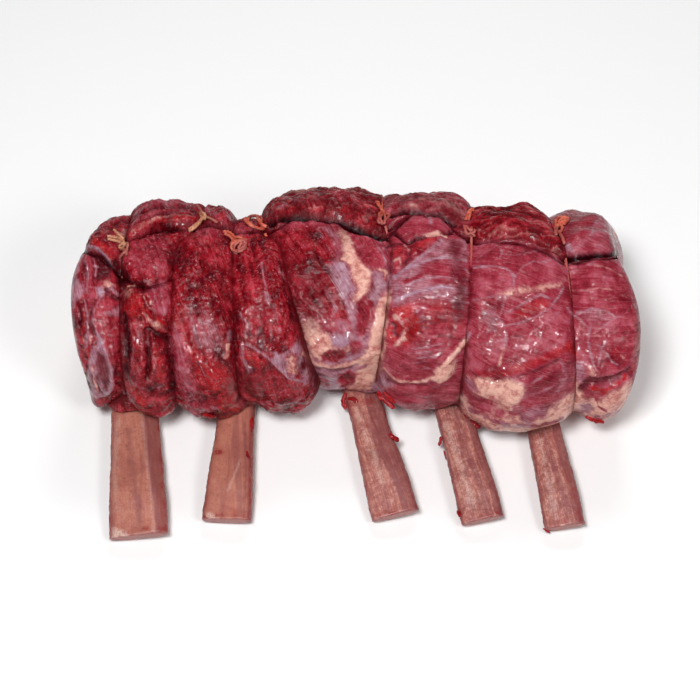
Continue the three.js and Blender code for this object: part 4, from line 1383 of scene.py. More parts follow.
@dataclass(frozen=True)
class MeatFinish:
    """Wet raw muscle with fat, silver skin and a thin veil, from the stains on the vertices."""

    bare: Stops = ((0.38, paint(78, 2, 13)), (0.5, paint(130, 6, 20)), (0.64, paint(172, 44, 58)))
    veil: Stops = ((0.33, paint(106, 14, 28)), (0.5, paint(146, 42, 58)), (0.68, paint(182, 92, 108)))
    bright: Stops = ((0.36, paint(122, 5, 14)), (0.64, paint(182, 26, 32)))
    silver: Stops = ((0.36, paint(128, 56, 76)), (0.66, paint(190, 152, 164)))
    fat: Stops = ((0.38, paint(178, 98, 94)), (0.56, paint(226, 174, 158)))
    crust: Stops = ((0.36, paint(96, 34, 36)), (0.64, paint(182, 124, 120)))
    silver_blue: Colour = paint(170, 150, 178)
    thread: Colour = paint(196, 116, 122)
    painted_glint: Colour = paint(222, 158, 166)
    hollow_shade: Colour = paint(88, 1, 10)
    shadow_and_dark_flesh: Colour = paint(34, 1, 5)
    coat_roughness: float = 0.07
    coat_ior: float = 1.4
    specular_level: float = 0.07
    bump_strength: float = 0.9
    bump_metres: float = 0.0011

    def build(self, patterns: SharedPatterns) -> bpy.types.Material:
        """Build the material.

        Args:
            patterns: The shared shader groups.

        Returns:
            The meat's material.
        """
        material, bench = new_material("raw_meat")
        place = bench.place()
        fibre, bundle = patterns.use_fibres(bench, bench.grain(), 0.07, 1.0)
        net = patterns.use_net(bench, place, 0.28, 0.07)
        broad = bench.cloud(place, 0.07, 3.0)
        smooth = bench.cloud(place, 0.17, 2.0, 0.8)
        patchy = bench.cloud(place, 0.26, 4.0, 0.5, 0.6)
        fine = bench.cloud(place, 0.95, 3.0, 0.0, 0.65)
        veiled, rough, crusted, hollow_shade, dark, silver, fat, bright = (
            bench.stain(name) for name in ("veil", "rough", "crust", "hollow_shade", "dark", "silver", "fat", "bright"))
        uneven, speckled, streak, band = patchy - 0.5, fine - 0.5, fibre - 0.5, bundle - 0.5

        # Muscle, bare or under a veil, and brighter in places.
        bare_share = 1.0 - veiled * 0.4
        tone = broad * 0.5 + smooth * 0.34 + patchy * 0.16
        tone = tone + streak * (bare_share * 0.3) + band * (bare_share * 0.36)
        bare = bench.ramp(tone, *self.bare)
        veil = bench.ramp(tone, *self.veil)
        colour = bench.blend(bench.grade(veiled + uneven * 0.9, 0.1, 0.9), bare, veil)
        glow = bench.ramp(tone, *self.bright)
        colour = bench.blend(bench.grade(bright + uneven * 0.8, 0.22, 0.85), colour, glow)

        # Pale threads, the net between bundles, and small pale flecks of painted glints and sheen.
        line = bench.grade(bench.math("ABSOLUTE", band), 0.0, 0.016, 1.0, 0.0)
        colour = bench.blend(line * (veiled * 0.38), colour, self.thread)
        colour = bench.blend(net * (rough * 0.2), colour, self.thread)
        grit = bench.grade(bench.cloud(place, 0.9, 1.0, 0.0, 0.6), 0.53, 0.66)
        glint_specks = grit * bench.grade(broad, 0.38, 0.6, 0.15, 1.0) * (rough * 0.05 + 0.04)
        colour = bench.blend(glint_specks, colour, self.painted_glint)
        glint_flecks = bench.grade(bench.cloud(place, 1.1, 1.0), 0.62, 0.72) * bench.grade(patchy, 0.46, 0.6, 0.1, 1.0)
        colour = bench.blend(glint_flecks * (rough * 0.28 + 0.16), colour, self.painted_glint)

        # Silver skin, fat and dried crust, then painted shade in hollows and painted shadow in gaps, with darker flesh
        # in places.
        skin = bench.ramp(fibre * 0.45 + patchy * 0.55, *self.silver)
        skin = bench.blend(bench.grade(silver, 0.76, 1.0, 0.0, 0.35), skin, self.silver_blue)
        sheet = silver + streak * 0.6 + uneven * (0.4 - veiled * 0.25)
        colour = bench.blend(bench.grade(sheet, 0.15, 0.98), colour, skin)
        fat_tone = patchy * 0.6 + broad * 0.4 + speckled * 0.2
        fat_share = bench.grade(fat + uneven * 0.5 + speckled * 0.3, 0.16, 0.84)
        colour = bench.blend(fat_share, colour, bench.ramp(fat_tone, *self.fat))
        crust = bench.ramp(tone + speckled * 0.5, *self.crust)
        colour = bench.blend(bench.grade(crusted + uneven * 0.9, 0.2, 0.95), colour, crust)
        colour = bench.blend(hollow_shade, colour, self.hollow_shade)
        colour = bench.blend(dark, colour, self.shadow_and_dark_flesh)

        # Wet gloss in patches, and none in hollows and gaps.
        gloss = bench.grade(bench.cloud(place, 0.3, 3.0, 0.3), 0.44, 0.66, 0.12, 0.36)
        gloss = (gloss + fat_share * 0.1 + crusted * 0.2 + hollow_shade * 0.5).held()
        shown = (1.0 - bench.math("MAXIMUM", hollow_shade, dark)).held()
        wet = bench.grade(bench.cloud(place, 0.4, 3.0, 0.3), 0.44, 0.6, 0.03, 0.32)
        wet = ((wet * (shown * shown)).held() * (1.0 - crusted * 0.6)).held()

        # Lumps, and fibres along the grain.
        swell = bench.cloud(place, 0.34, 2.0, 0.6)
        lumps = (swell * 0.9 + fine * (crusted * 0.4 + 0.07)) * (rough * 0.5 + 0.25) * (crusted * 1.2 + 1.0)
        lumps = lumps + fat_share * (fine * 0.3)
        height = lumps + (fibre * 0.2 + bundle * 0.34)
        bench.shade({
            "Base Color": colour, "Roughness": gloss, "Specular IOR Level": self.specular_level,
            "Coat Weight": wet, "Coat Roughness": self.coat_roughness, "Coat IOR": self.coat_ior,
            "Normal": bench.bump(height, self.bump_strength, self.bump_metres)})
        return material


@dataclass(frozen=True)
class BoneFinish:
    """Scraped raw bone with streaks along it, blood at the edges and a spongy cut end."""

    shade: Colour = paint(138, 76, 70)
    plain: Colour = paint(168, 100, 92)
    pale: Colour = paint(204, 150, 140)
    ochre: Colour = paint(178, 106, 82)
    mauve: Colour = paint(128, 66, 68)
    blood: Colour = paint(136, 20, 24)
    brown: Colour = paint(112, 52, 44)
    marrow: Colour = paint(120, 34, 32)
    white: Colour = paint(222, 196, 184)
    coat_weight: float = 0.12
    coat_roughness: float = 0.2
    specular_level: float = 0.3
    bump_strength: float = 0.8
    bump_metres: float = 0.0008

    def build(self, patterns: SharedPatterns) -> bpy.types.Material:
        """Build the material.

        Args:
            patterns: The shared shader groups.

        Returns:
            The bone's material.
        """
        material, bench = new_material("raw_bone")
        place = bench.place()
        fibre, bundle = patterns.use_fibres(bench, bench.grain(), 0.04, 0.8)
        broad = bench.cloud(place, 0.09, 3.0)
        patchy = bench.cloud(place, 0.5, 4.0, 0.3)
        fine = bench.cloud(place, 1.6, 3.0)
        warm = bench.stain("warm")
        tone = fibre * 0.42 + patchy * 0.38 + fine * 0.2
        tone = (tone - 0.5) * (1.0 - warm * 0.65).held() + 0.5 + (broad - 0.5) * 0.3
        colour = bench.ramp(tone, (0.4, self.shade), (0.5, self.plain), (0.61, self.pale))
        colour = bench.blend(bench.grade(broad, 0.46, 0.62) * 0.22 + warm * 0.5, colour, self.ochre)
        colour = bench.blend(bench.grade(bundle, 0.5, 0.66) * 0.5, colour, self.mauve)
        pores = bench.grade(bench.cloud(place, 0.75, 2.0), 0.58, 0.68) * 0.4
        colour = bench.blend(pores, colour, self.brown)
        foam = (bench.stain("silver") * bench.grade(fine, 0.4, 0.58, 0.35, 1.0)).held()
        colour = bench.blend(foam, colour, self.white)
        # Painted shade in mauve past each ridge and at the edges, and the dark marks.
        colour = bench.blend(bench.stain("dark"), colour, self.mauve)
        bloody = (bench.stain("bright") * bench.grade(patchy, 0.36, 0.54, 0.25, 1.0)).held()
        colour = bench.blend(bloody, colour, self.blood)
        spongy = bench.blend(bench.grade(fine, 0.48, 0.6) * 0.7, self.plain, self.marrow)
        colour = bench.blend(bench.stain("marrow"), colour, spongy)
        bench.shade({
            "Base Color": colour, "Roughness": patchy * 0.3 + 0.3, "Specular IOR Level": self.specular_level,
            "Coat Weight": self.coat_weight, "Coat Roughness": self.coat_roughness,
            "Normal": bench.bump(fibre * 0.5 + fine * 0.35, self.bump_strength, self.bump_metres)})
        return material


@dataclass(frozen=True)
class TwineFinish:
    """Soaked cotton twine."""

    name: str
    shade: Colour
    plain: Colour
    fluff: Colour
    soaked: Colour = paint(158, 62, 58)
    bump_strength: float = 0.6
    bump_metres: float = 0.0003

    def build(self, patterns: SharedPatterns) -> bpy.types.Material:
        """Build the material.

        Args:
            patterns: The shared shader groups.

        Returns:
            The twine's material.
        """
        material, bench = new_material(self.name)
        fibre, _ = patterns.use_fibres(bench, bench.grain(), 0.6, 4.0)
        patchy = bench.cloud(bench.place(), 0.35, 3.0)
        tone = fibre * 0.5 + patchy * 0.5
        colour = bench.ramp(tone, (0.36, self.shade), (0.5, self.plain), (0.66, self.fluff))
        # Painted shade between the two plies.
        colour = bench.blend(bench.stain("hollow_shade") * 0.7, colour, self.shade)
        colour = bench.blend(bench.stain("soaked") * 0.85, colour, self.soaked)
        bench.shade({
            "Base Color": colour, "Roughness": patchy * 0.3 + 0.45,
            "Normal": bench.bump(fibre, self.bump_strength, self.bump_metres)})
        return material


@dataclass(frozen=True)
class Rib:
    """One rib bone: neck is where it leaves the meat, tip is its bare end."""

    neck_x: float
    tip_x: float
    tip_y: float
    neck_width: float
    tip_width: float
    roll: float
    ridge: tuple[float, float]
    drop: float
    warmth: float = 0.0


@dataclass
class RibForm:
    """The form of the rib bones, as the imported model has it, in millimetres."""

    ribs: tuple[Rib, ...] = (
        Rib(-126.3, -119.5, -131, 27, 33, 9, ridge=(0.42, 0.66), drop=0.8, warmth=0.85),
        Rib(-67.9, -71.4, -121, 21, 27.5, 5, ridge=(0.7, 0.82), drop=0.5, warmth=1.0),
        Rib(6.1, 22.5, -118, 20.5, 26.5, 10, ridge=(0.0, 0.3), drop=0.3, warmth=0.15),
        Rib(55.6, 71, -121, 20, 24, 8, ridge=(0.45, 0.6), drop=0.3),
        Rib(105.5, 116.5, -125, 18.5, 22.5, 8, ridge=(0.3, 0.45), drop=0.35),
    )
    neck_y: float = -50.0
    hidden_y: float = 18.0
    thickness: float = 12.0
    roundness: float = 2.7
    arch: float = 3.0
    arch_run: float = 25.0
    end_dome: float = 1.6
    cut_lean: float = 0.27

    def line(self, rib: Rib) -> tuple[np.ndarray, np.ndarray, float]:
        """Draw a rib's middle line.

        Args:
            rib: The rib.

        Returns:
            The start, the direction and the length.
        """
        neck = np.array([rib.neck_x, self.neck_y])
        tip = np.array([rib.tip_x, rib.tip_y])
        direction = (tip - neck) / np.linalg.norm(tip - neck)
        start = neck + direction * (self.hidden_y - self.neck_y) / direction[1]
        return start, direction, float(np.linalg.norm(tip - start))

    def channel(self, points: np.ndarray) -> np.ndarray:
        """Give the height of the channels that the ribs lie in, under the meat.

        Args:
            points: Points in model millimetres.

        Returns:
            The height of the channel's roof above the ground at each point, 0 beside the channels.
        """
        roof = np.zeros(len(points))
        for rib in self.ribs:
            start, direction, _ = self.line(rib)
            from_start = points[:, :2] - start
            along = from_start @ direction
            aside = np.abs(from_start @ np.array([-direction[1], direction[0]]))
            half = rib.neck_width / 2
            inside = step(half + 0.6, half - 1.0, aside) * step(-2.5, -0.5, along)
            roof = np.maximum(roof, (self.arch + self.thickness + 0.3) * inside)
        return roof


FORM = MeatForm()
RIB_FORM = RibForm()


@dataclass
class MeatLobe:
    """One lobe of the meat, moulded from a sheet, with its flap, creases, fat and silver skin."""

    index: int
    noise: Noise
    around: int = 400
    along: int = 92
    hidden_rings: int = 5
    end_rings: int = 26
    crowding: float = 0.45
    crowded_turn: float = 120.0
    arc_radius: float = 55.0
    halo: float = 0.75
    seen_from: Pair = (25, 40)
    seen_to: Pair = (245, 232)
    bundle_size: Pair = (34, 8)
    fibre_size: Pair = (9, 1.7)
    split_size: Pair = (17, 2.8)
    wrinkle_size: Pair = (13, 5.5)
    swell_size: float = 30.0
    lump_size: float = 8.0
    crest_size: float = 5.0
    darkest: float = 0.92

    @property
    def name(self) -> str:
        """Name of the piece."""
        return f"meat_lobe_{self.index + 1}"

    def build(self, finish: bpy.types.Material) -> bpy.types.Object:
        """Mould the lobe and dress it.

        Args:
            finish: The meat's material.

        Returns:
            The finished piece.
        """
        lobe = FORM.lobes[self.index]
        left_rings = self.end_rings if self.index == 0 else self.hidden_rings
        right_rings = self.end_rings if self.index == len(FORM.lobes) - 1 else self.hidden_rings
        rings = left_rings + self.along + right_rings
        piece = put(self.name, self.around, rings)
        ring, turn = sheet_places(piece, rings, -math.pi / 2)

        angle = turn - self.crowding * np.sin(turn - math.radians(self.crowded_turn))
        station = np.clip((ring - right_rings) / self.along, 0, 1)
        share = 1 - (1 - np.cos(math.pi * station)) / 2
        inner = np.minimum(ring / right_rings, (rings - ring) / left_rings)
        size = np.clip(inner, 0, 1)

        points, raised, crease, low, bark = self.surface(lobe, share, angle, size, ring < rings / 2)
        arc = self.arc_radius * angle
        slant = math.radians(lobe.grain)
        along = points[:, 0] * math.cos(slant) + arc * math.sin(slant)
        across = arc * math.cos(slant) - points[:, 0] * math.sin(slant)
        stains = self.stains(lobe, points, angle, crease)
        radial = np.stack([np.zeros(len(points)), np.cos(angle), np.sin(angle)], 1)
        stains["bark"] = bark
        height, dip_shade = self.relief(points, along, across, stains)
        points = points + radial * (height * raised)[:, None]
        model = points - np.array([0, SHIFT_Y, 0])
        points[:, 2] = np.maximum(points[:, 2], RIB_FORM.channel(model))

        mould(piece, points)
        lay_grain(piece, along, across)
        for tissue in Tissue:
            if tissue is not Tissue.FORM:
                stain(piece, tissue.value, np.clip(stains[tissue], 0, 1))
        stain(piece, "rough", stains["rough"])
        # Painted shade by the grooves and in the dips of the relief.
        stain(piece, "hollow_shade", np.clip(low + dip_shade, 0, self.darkest))
        close_up(piece)
        return hand_over(piece, finish, "meat")

    def surface(self, lobe: Lobe, share: np.ndarray, angle: np.ndarray, size: np.ndarray,
                on_right: np.ndarray) -> tuple[np.ndarray, np.ndarray, np.ndarray, np.ndarray, np.ndarray]:
        """Lay out the lobe's skin before its relief.

        Args:
            lobe: The lobe's measures.
            share: Share of the way from its left edge to its right one.
            angle: Angle round the axis.
            size: Pair of the ring in an end face, 1 on the skin.
            on_right: Whether the vertex is in the right half.

        Returns:
            The points, how much relief each may have, the painted shadow in its crease, the painted shade where it
            lies by a groove and how much it is dried flesh that splits like bark.
        """
        x, radius, swell = FORM.skin(self.index, share, angle)
        wander = 1.6 * self.noise.at(np.stack([x / 9, np.full_like(x, self.index * 3.7), np.zeros_like(x)], 1))
        lean, crease, bark = angle.copy(), np.zeros_like(angle), np.zeros_like(angle)
        over_back = step(-70, 10, (np.degrees(angle) + 90) % 360 - 90)
        held = np.clip(swell * 1.4, 0, 1)
        for fold in lobe.folds:
            past = np.degrees(angle) % 360 - FORM.fold_angles(self.index, fold, share) - wander
            radius = radius + held * (fold.lip * bell((past + 12) / 8) - fold.gap * bell((past - 0.5) / fold.width))
            lean += np.radians(fold.over * held * bell((past + 5) / 5.2))
            # Painted shadow in the crease under each flap.
            crease = np.maximum(crease, fold.dark * bell((past - 0.6) / fold.width))
            bark = np.maximum(bark, fold.bark * step(-1, -7, past) * over_back * held)
        end = FORM.left_end if self.index == 0 else FORM.right_end
        end_middle = end.x - np.sign(end.x) * (end.top_taper / 2 - FORM.end_dome)
        is_end = (self.index == 0) & ~on_right | (self.index == len(FORM.lobes) - 1) & on_right
        x = np.where(is_end, mix(end_middle, x, size ** 1.5), x)
        points = on_section(x, radius * size, lean)
        raised = np.clip(swell * 1.6 + is_end * (1 - size) * 2, 0, 1) * np.where(is_end, 1, size)
        # Painted shade where the lobe falls away into a groove, with a ragged edge.
        ragged = 0.16 * self.noise.rough(points, 6, 2)
        low = np.where(is_end, 0, 0.9 * step(mix(0.66, 0.44, lobe.veil), mix(0.3, 0.1, lobe.veil), swell + ragged))
        return points, raised, crease, low, bark

    def stains(self, lobe: Lobe, points: np.ndarray, angle: np.ndarray, crease: np.ndarray) -> dict:
        """Work out which tissue shows at each vertex.

        Args:
            lobe: The lobe's measures.
            points: The vertices in millimetres.
            angle: Their angles round the axis.
            crease: The painted shadow in the creases under the flaps.

        Returns:
            The cover of each tissue, the relief of the marks and the roughness of the flesh.
        """
        stains = {tissue: np.zeros(len(points)) for tissue in Tissue}
        turned = np.degrees(angle) % 360
        seen = step(*self.seen_from, turned) * step(*self.seen_to, turned)
        stains[Tissue.VEIL] += lobe.veil
        edge = self.noise.rough(points, 4.5, 3)
        relief = np.zeros(len(points))
        pixels = VIEW.pixels(points)
        for mark in MEAT_MARKS:
            if mark.tissue is Tissue.FAT:
                mark = replace(mark, soft=1.9 * mark.soft)
            cover = mark.cover(*pixels, edge) * seen
            if not cover.any():
                continue
            for tissue in Tissue:
                if tissue is not mark.tissue and mark.tissue is not Tissue.FORM and tissue is not Tissue.VEIL:
                    stains[tissue] *= 1 - cover
            stains[mark.tissue] = stains[mark.tissue] * (1 - cover) + cover * mark.level
            relief += mark.relief * cover
            if mark.tissue is Tissue.FAT:
                halo = replace(mark, soft=2.0 * mark.soft, strength=self.halo * mark.level)
                stains[Tissue.SILVER] = np.maximum(stains[Tissue.SILVER], halo.cover(*pixels, edge) * seen)
        hidden = 1 - seen
        patches = self.noise.rough(points + 40, 26, 3)
        stains[Tissue.FAT] += hidden * step(0.32, 0.5, patches) * (0.4 + 0.6 * lobe.veil)
        stains[Tissue.SILVER] += hidden * step(0.15, 0.4, self.noise.rough(points - 70, 22, 2)) * lobe.veil * 0.8
        # Painted shadow in the creases under the flaps.
        stains[Tissue.DARK] = np.maximum(stains[Tissue.DARK], crease)
        stains["relief"] = relief
        stains["rough"] = np.clip(lobe.rough * (1 - stains[Tissue.FAT] * 0.7) * (1 - stains[Tissue.SILVER] * 0.8)
                                  + stains[Tissue.CRUST], 0, 1)
        return stains

    def relief(self, points: np.ndarray, along: np.ndarray, across: np.ndarray,
               stains: dict) -> tuple[np.ndarray, np.ndarray]:
        """Work out how far each vertex stands proud of the lobe's plain skin.

        Args:
            points: The vertices in millimetres.
            along: Millimetres along the grain.
            across: Millimetres across the grain.
            stains: What shows at each vertex.

        Returns:
            The height in millimetres, and the painted shade in the dips.
        """
        rough = stains["rough"]
        length, width = self.wrinkle_size
        wrinkle = (1 - np.abs(self.noise.at(points / np.array([length, width, width])))) ** 9
        wrinkle = wrinkle * step(-0.1, 0.35, self.noise.rough(points - 30, 22, 2))
        lumps = self.noise.rough(points, self.lump_size, 3, 0.55)
        bundles = self.noise.at(along_grain(along, across, self.bundle_size, self.index * 5.0))
        fibres = self.noise.at(along_grain(along, across, self.fibre_size, self.index * 5.0))
        height = 1.6 * self.noise.rough(points, self.swell_size, 2)
        height += (0.4 + 0.8 * rough) * bundles
        height += rough * (1.05 * lumps + 0.5 * self.noise.ridges(points, self.crest_size) - 1.3 * wrinkle)
        height += (0.12 + 0.16 * rough) * fibres
        # Painted shade in the dips of the lumps, wrinkles and bundles.
        dip_shade = rough * (0.12 * step(0.1, 0.8, -lumps) + 0.4 * wrinkle) + 0.2 * step(0.2, 0.8, -bundles)
        arc = self.arc_radius * np.arctan2(points[:, 2] - AXIS_HEIGHT, points[:, 1] - SHIFT_Y)
        split_place = along_grain(points[:, 0], arc + 0.25 * points[:, 0], self.split_size, self.index * 7.0)
        split = (1 - np.abs(self.noise.at(split_place) + 0.3 * self.noise.at(split_place * 2.3))) ** 4
        height -= stains["bark"] * 1.5 * split
        # Painted shade in the splits of the bark.
        dip_shade = np.maximum(dip_shade * (1 - stains["bark"]), stains["bark"] * step(0.3, 0.8, split) * 0.8)
        stains[Tissue.CRUST] = np.maximum(stains[Tissue.CRUST], stains["bark"] * 0.55 * step(0.5, 0.05, split))
        return height + stains["relief"], dip_shade * (1 - 0.7 * stains[Tissue.FAT])


@dataclass
class Probe:
    """Finds the finished surface of pieces along a line. Lengths are in millimetres and tries in pixels."""

    pieces: Sequence[bpy.types.Object]
    outside: float = 140.0
    usual_radius: float = 45.0
    tries_down: int = 12
    tries_aside: int = 16
    jump: float = 3.0

    def __post_init__(self) -> None:
        """Gather the faces of the pieces."""
        spots, faces, first = [], [], 0
        for piece in self.pieces:
            places = np.empty(len(piece.data.vertices) * 3, np.float32)
            piece.data.vertices.foreach_get("co", places)
            spots.append(places.reshape(-1, 3) / MM)
            piece.data.calc_loop_triangles()
            corners = np.empty(len(piece.data.loop_triangles) * 3, np.int32)
            piece.data.loop_triangles.foreach_get("vertices", corners)
            faces.append(corners.reshape(-1, 3) + first)
            first += len(spots[-1])
        self.tree = BVHTree.FromPolygons(np.concatenate(spots).tolist(), np.concatenate(faces).tolist())

    def radius(self, x: float, angle: float) -> float:
        """Give the distance from the meat's axis to its surface.

        Args:
            x: Place along the roast.
            angle: Angle round the axis.

        Returns:
            The distance in millimetres.
        """
        out = Vector((0, math.cos(angle), math.sin(angle)))
        start = Vector((x, SHIFT_Y, AXIS_HEIGHT)) + out * self.outside
        hit = self.tree.ray_cast(start, -out)
        return self.outside - hit[3] if hit[0] else self.usual_radius

    def seen(self, pixel: Pixel) -> tuple[Vector, Vector]:
        """Give the point and the normal of what shows at a pixel, or rise from just below it, past an outline.

        Args:
            pixel: The pixel across and down.

        Returns:
            The point in millimetres and the normal.
        """
        for lower in range(self.tries_down):
            hit = self.tree.ray_cast(*VIEW.ray((pixel[0], pixel[1] + lower)))
            if hit[0] is not None:
                return hit[0] + Vector(VIEW.upward * lower * VIEW.mm_per_pixel), hit[1]
        raise ValueError(f"nothing shows at {pixel}")

    def nearest(self, pixel: Pixel) -> tuple[Vector, Vector]:
        """Give what shows at a pixel or, past an edge, at the nearest pixel to its left or right.

        Args:
            pixel: The pixel across and down.

        Returns:
            The point in millimetres and the normal.
        """
        for step_out in range(self.tries_aside):
            for across in (step_out, -step_out):
                hit = self.tree.ray_cast(*VIEW.ray((pixel[0] + across, pixel[1])))
                if hit[0] is not None:
                    return hit[0], hit[1]
        raise ValueError(f"nothing shows near {pixel}")

    def carried(self, places: Sequence[Pixel]) -> list[tuple[Vector, Vector]]:
        """Give what shows at each pixel, and go on from the place before where nothing does.

        Args:
            places: The pixels, the first of them on the meat or a bone.

        Returns:
            The points in millimetres and the normals.
        """
        found = [self.nearest(places[0])]
        for last, pixel in zip(places, places[1:]):
            hit = self.tree.ray_cast(*VIEW.ray(pixel))
            spot, out = found[-1]
            right, up = (pixel[0] - last[0]) * VIEW.mm_per_pixel, (last[1] - pixel[1]) * VIEW.mm_per_pixel
            if hit[0] is not None and (hit[0] - spot).length < self.jump * math.hypot(right, up) + 1:
                found.append((hit[0], hit[1]))
            else:
                found.append((spot + Vector((right, 0, 0)) + Vector(VIEW.upward * up), out))
        return found


@dataclass
class RibBone:
    """One bare rib bone, flat with a ridge, and cut straight across at its free end."""

    index: int
    noise: Noise
    around: int = 84
    stations: int = 170
    end_rings: int = 12
    fibre_size: Pair = (22, 1.6)
    waver: float = 0.35
    waver_size: float = 14.0
    edge_share: Pair = (0.8, 0.97)

    def build(self, finish: bpy.types.Material) -> bpy.types.Object:
        """Mould the bone and dress it.

        Args:
            finish: The bone's material.

        Returns:
            The finished piece.
        """
        rib = RIB_FORM.ribs[self.index]
        rings = self.stations + 2 * self.end_rings
        piece = put(f"rib_bone_{self.index + 1}", self.around, rings)
        ring, turn = sheet_places(piece, rings)
        start, direction, length = RIB_FORM.line(rib)
        share = np.clip((ring - self.end_rings) / self.stations, 0, 1)
        from_end = np.clip(np.minimum(ring, rings - ring) / self.end_rings, 0, 1)
        size = np.where(from_end < 1, np.minimum(from_end * 1.12, 1) ** 0.8, 1)
        at_tip = ring > rings / 2
        dome = np.where(from_end < 1, np.where(at_tip, 1, -1) * RIB_FORM.end_dome * np.sqrt(1 - from_end ** 4), 0)
        angle = -turn
        neck_share = (RIB_FORM.hidden_y - RIB_FORM.neck_y) / (RIB_FORM.hidden_y - rib.tip_y)
        flare = step(neck_share, 1, share)
        half_width = mix(rib.neck_width, rib.tip_width, flare) / 2
        half_thick = RIB_FORM.thickness / 2
        radius, side, rise, ridge = self.section(rib, share, angle, flare)
        along = share * length
        waver = self.noise.at(
            np.stack([along / self.waver_size, np.sign(side) * 3, np.full_like(side, self.index * 2.2)], 1))
        sideways = side * size * (half_width + self.waver * waver)
        upward = rise * size * half_thick
        roll = math.radians(rib.roll) * flare
        side_turned = sideways * np.cos(roll) - upward * np.sin(roll)
        up_turned = sideways * np.sin(roll) + upward * np.cos(roll)
        foot = RIB_FORM.roundness / (RIB_FORM.roundness - 1)
        lying = ((half_width * np.sin(roll)) ** foot + (half_thick * np.cos(roll)) ** foot) ** (1 / foot)
        arch = RIB_FORM.arch * step(0, RIB_FORM.arch_run, (1 - share) * length)
        centre = start + direction * (along + dome)[:, None]
        points = np.stack([
            centre[:, 0] - direction[1] * side_turned,
            centre[:, 1] + direction[0] * side_turned + SHIFT_Y,
            lying + arch + up_turned], 1)

        below_top = np.clip(RIB_FORM.thickness - points[:, 2], 0, None)
        under = RIB_FORM.cut_lean * below_top * step(length - 9, length - 1, along)
        points[:, :2] -= direction * under[:, None]

        across = radius * angle * half_width * 0.7
        fibres = self.noise.at(along_grain(along, across, self.fibre_size, self.index * 4.0))
        height = 0.16 * fibres + 0.22 * self.noise.rough(points, 7, 3)
        height += 0.25 * self.noise.rough(points, 2.2, 2) * step(0.8, 0.98, np.abs(side))
        flat = np.cos(angle + roll)
        out = np.stack([direction[1] * -flat, direction[0] * flat, np.sin(angle + roll)], 1)
        points = points + out * (height * step(0.2, 0.9, from_end))[:, None]
        points[:, 2] = np.maximum(points[:, 2], 0)

        mould(piece, points)
        lay_grain(piece, along, across)
        stains = self.stains(points, side, rise, ridge, along, length)
        for tissue in (Tissue.BRIGHT, Tissue.SILVER, Tissue.DARK):
            stain(piece, tissue.value, np.clip(stains[tissue], 0, 1))
        stain(piece, "marrow", step(0.88, 0.8, size) * (from_end < 1))
        stain(piece, "warm", np.full(len(points), rib.warmth))
        close_up(piece)
        return hand_over(piece, finish, f"rib_{self.index + 1}")

    def section(self, rib: Rib, share: np.ndarray, angle: np.ndarray,
                flare: np.ndarray) -> tuple[np.ndarray, np.ndarray, np.ndarray, np.ndarray]:
        """Shape the rounded section, with a facet on either side of the ridge along its top.

        Args:
            rib: The bone's measures.
            share: Share of the way from the hidden end to the tip.
            angle: Angle round the middle line.
            flare: How far the bone has widened towards its tip, 0 to 1.

        Returns:
            The distances from the middle line, the places sideways and upwards and the ridge's place sideways,
            all as shares of the section's half width and half thickness.
        """
        power = RIB_FORM.roundness
        radius = (np.abs(np.cos(angle)) ** power + np.abs(np.sin(angle)) ** power) ** (-1 / power)
        side, rise = radius * np.cos(angle), radius * np.sin(angle)
        wander = self.noise.at(np.stack([share * 6, np.full_like(share, self.index * 1.3), np.zeros_like(share)], 1))
        ridge = mix(rib.ridge[0], rib.ridge[1], flare) + 0.05 * wander
        facet = 1.02 - np.where(side > ridge, rib.drop * (side - ridge) / (1 - ridge), 0.12 * (ridge - side))
        return radius, side, np.where(rise > 0, np.minimum(rise, np.maximum(facet, 0.05)), rise), ridge

    def stains(self, points: np.ndarray, side: np.ndarray, rise: np.ndarray, ridge: np.ndarray,
               along: np.ndarray, length: float) -> dict[Tissue, np.ndarray]:
        """Work out the marks, the blood at the edges and the shade past the ridge.

        Args:
            points: The vertices in millimetres.
            side: Their places sideways, 1 at the edge.
            rise: Their places upwards, 1 at the top.
            ridge: The ridge's place sideways.
            along: Millimetres along the bone.
            length: Length of the bone in millimetres.

        Returns:
            The cover of each tissue.
        """
        edge = self.noise.rough(points, 3.5, 3)
        pixels = VIEW.pixels(points)
        stains = {tissue: np.zeros(len(points)) for tissue in Tissue}
        for mark in BONE_MARKS:
            stains[mark.tissue] = np.maximum(stains[mark.tissue], mark.cover(*pixels, edge) * (rise > -0.2))
        rim = step(*self.edge_share, np.abs(side) + 0.05 * edge) * step(-0.35, 0.25, self.noise.rough(points, 6, 3))
        tip_rim = step(length - 3, length - 1, along + edge) * step(-0.1, 0.3, self.noise.rough(points, 4, 2))
        stains[Tissue.BRIGHT] = np.maximum(stains[Tissue.BRIGHT], 0.8 * np.maximum(rim, tip_rim))
        past_ridge = 0.6 * step(ridge, ridge + 0.08, side) * (rise > 0)
        shade = np.maximum(past_ridge, 0.5 * step(*self.edge_share, np.abs(side)))
        stains[Tissue.DARK] = np.maximum(stains[Tissue.DARK], shade)
        return stains


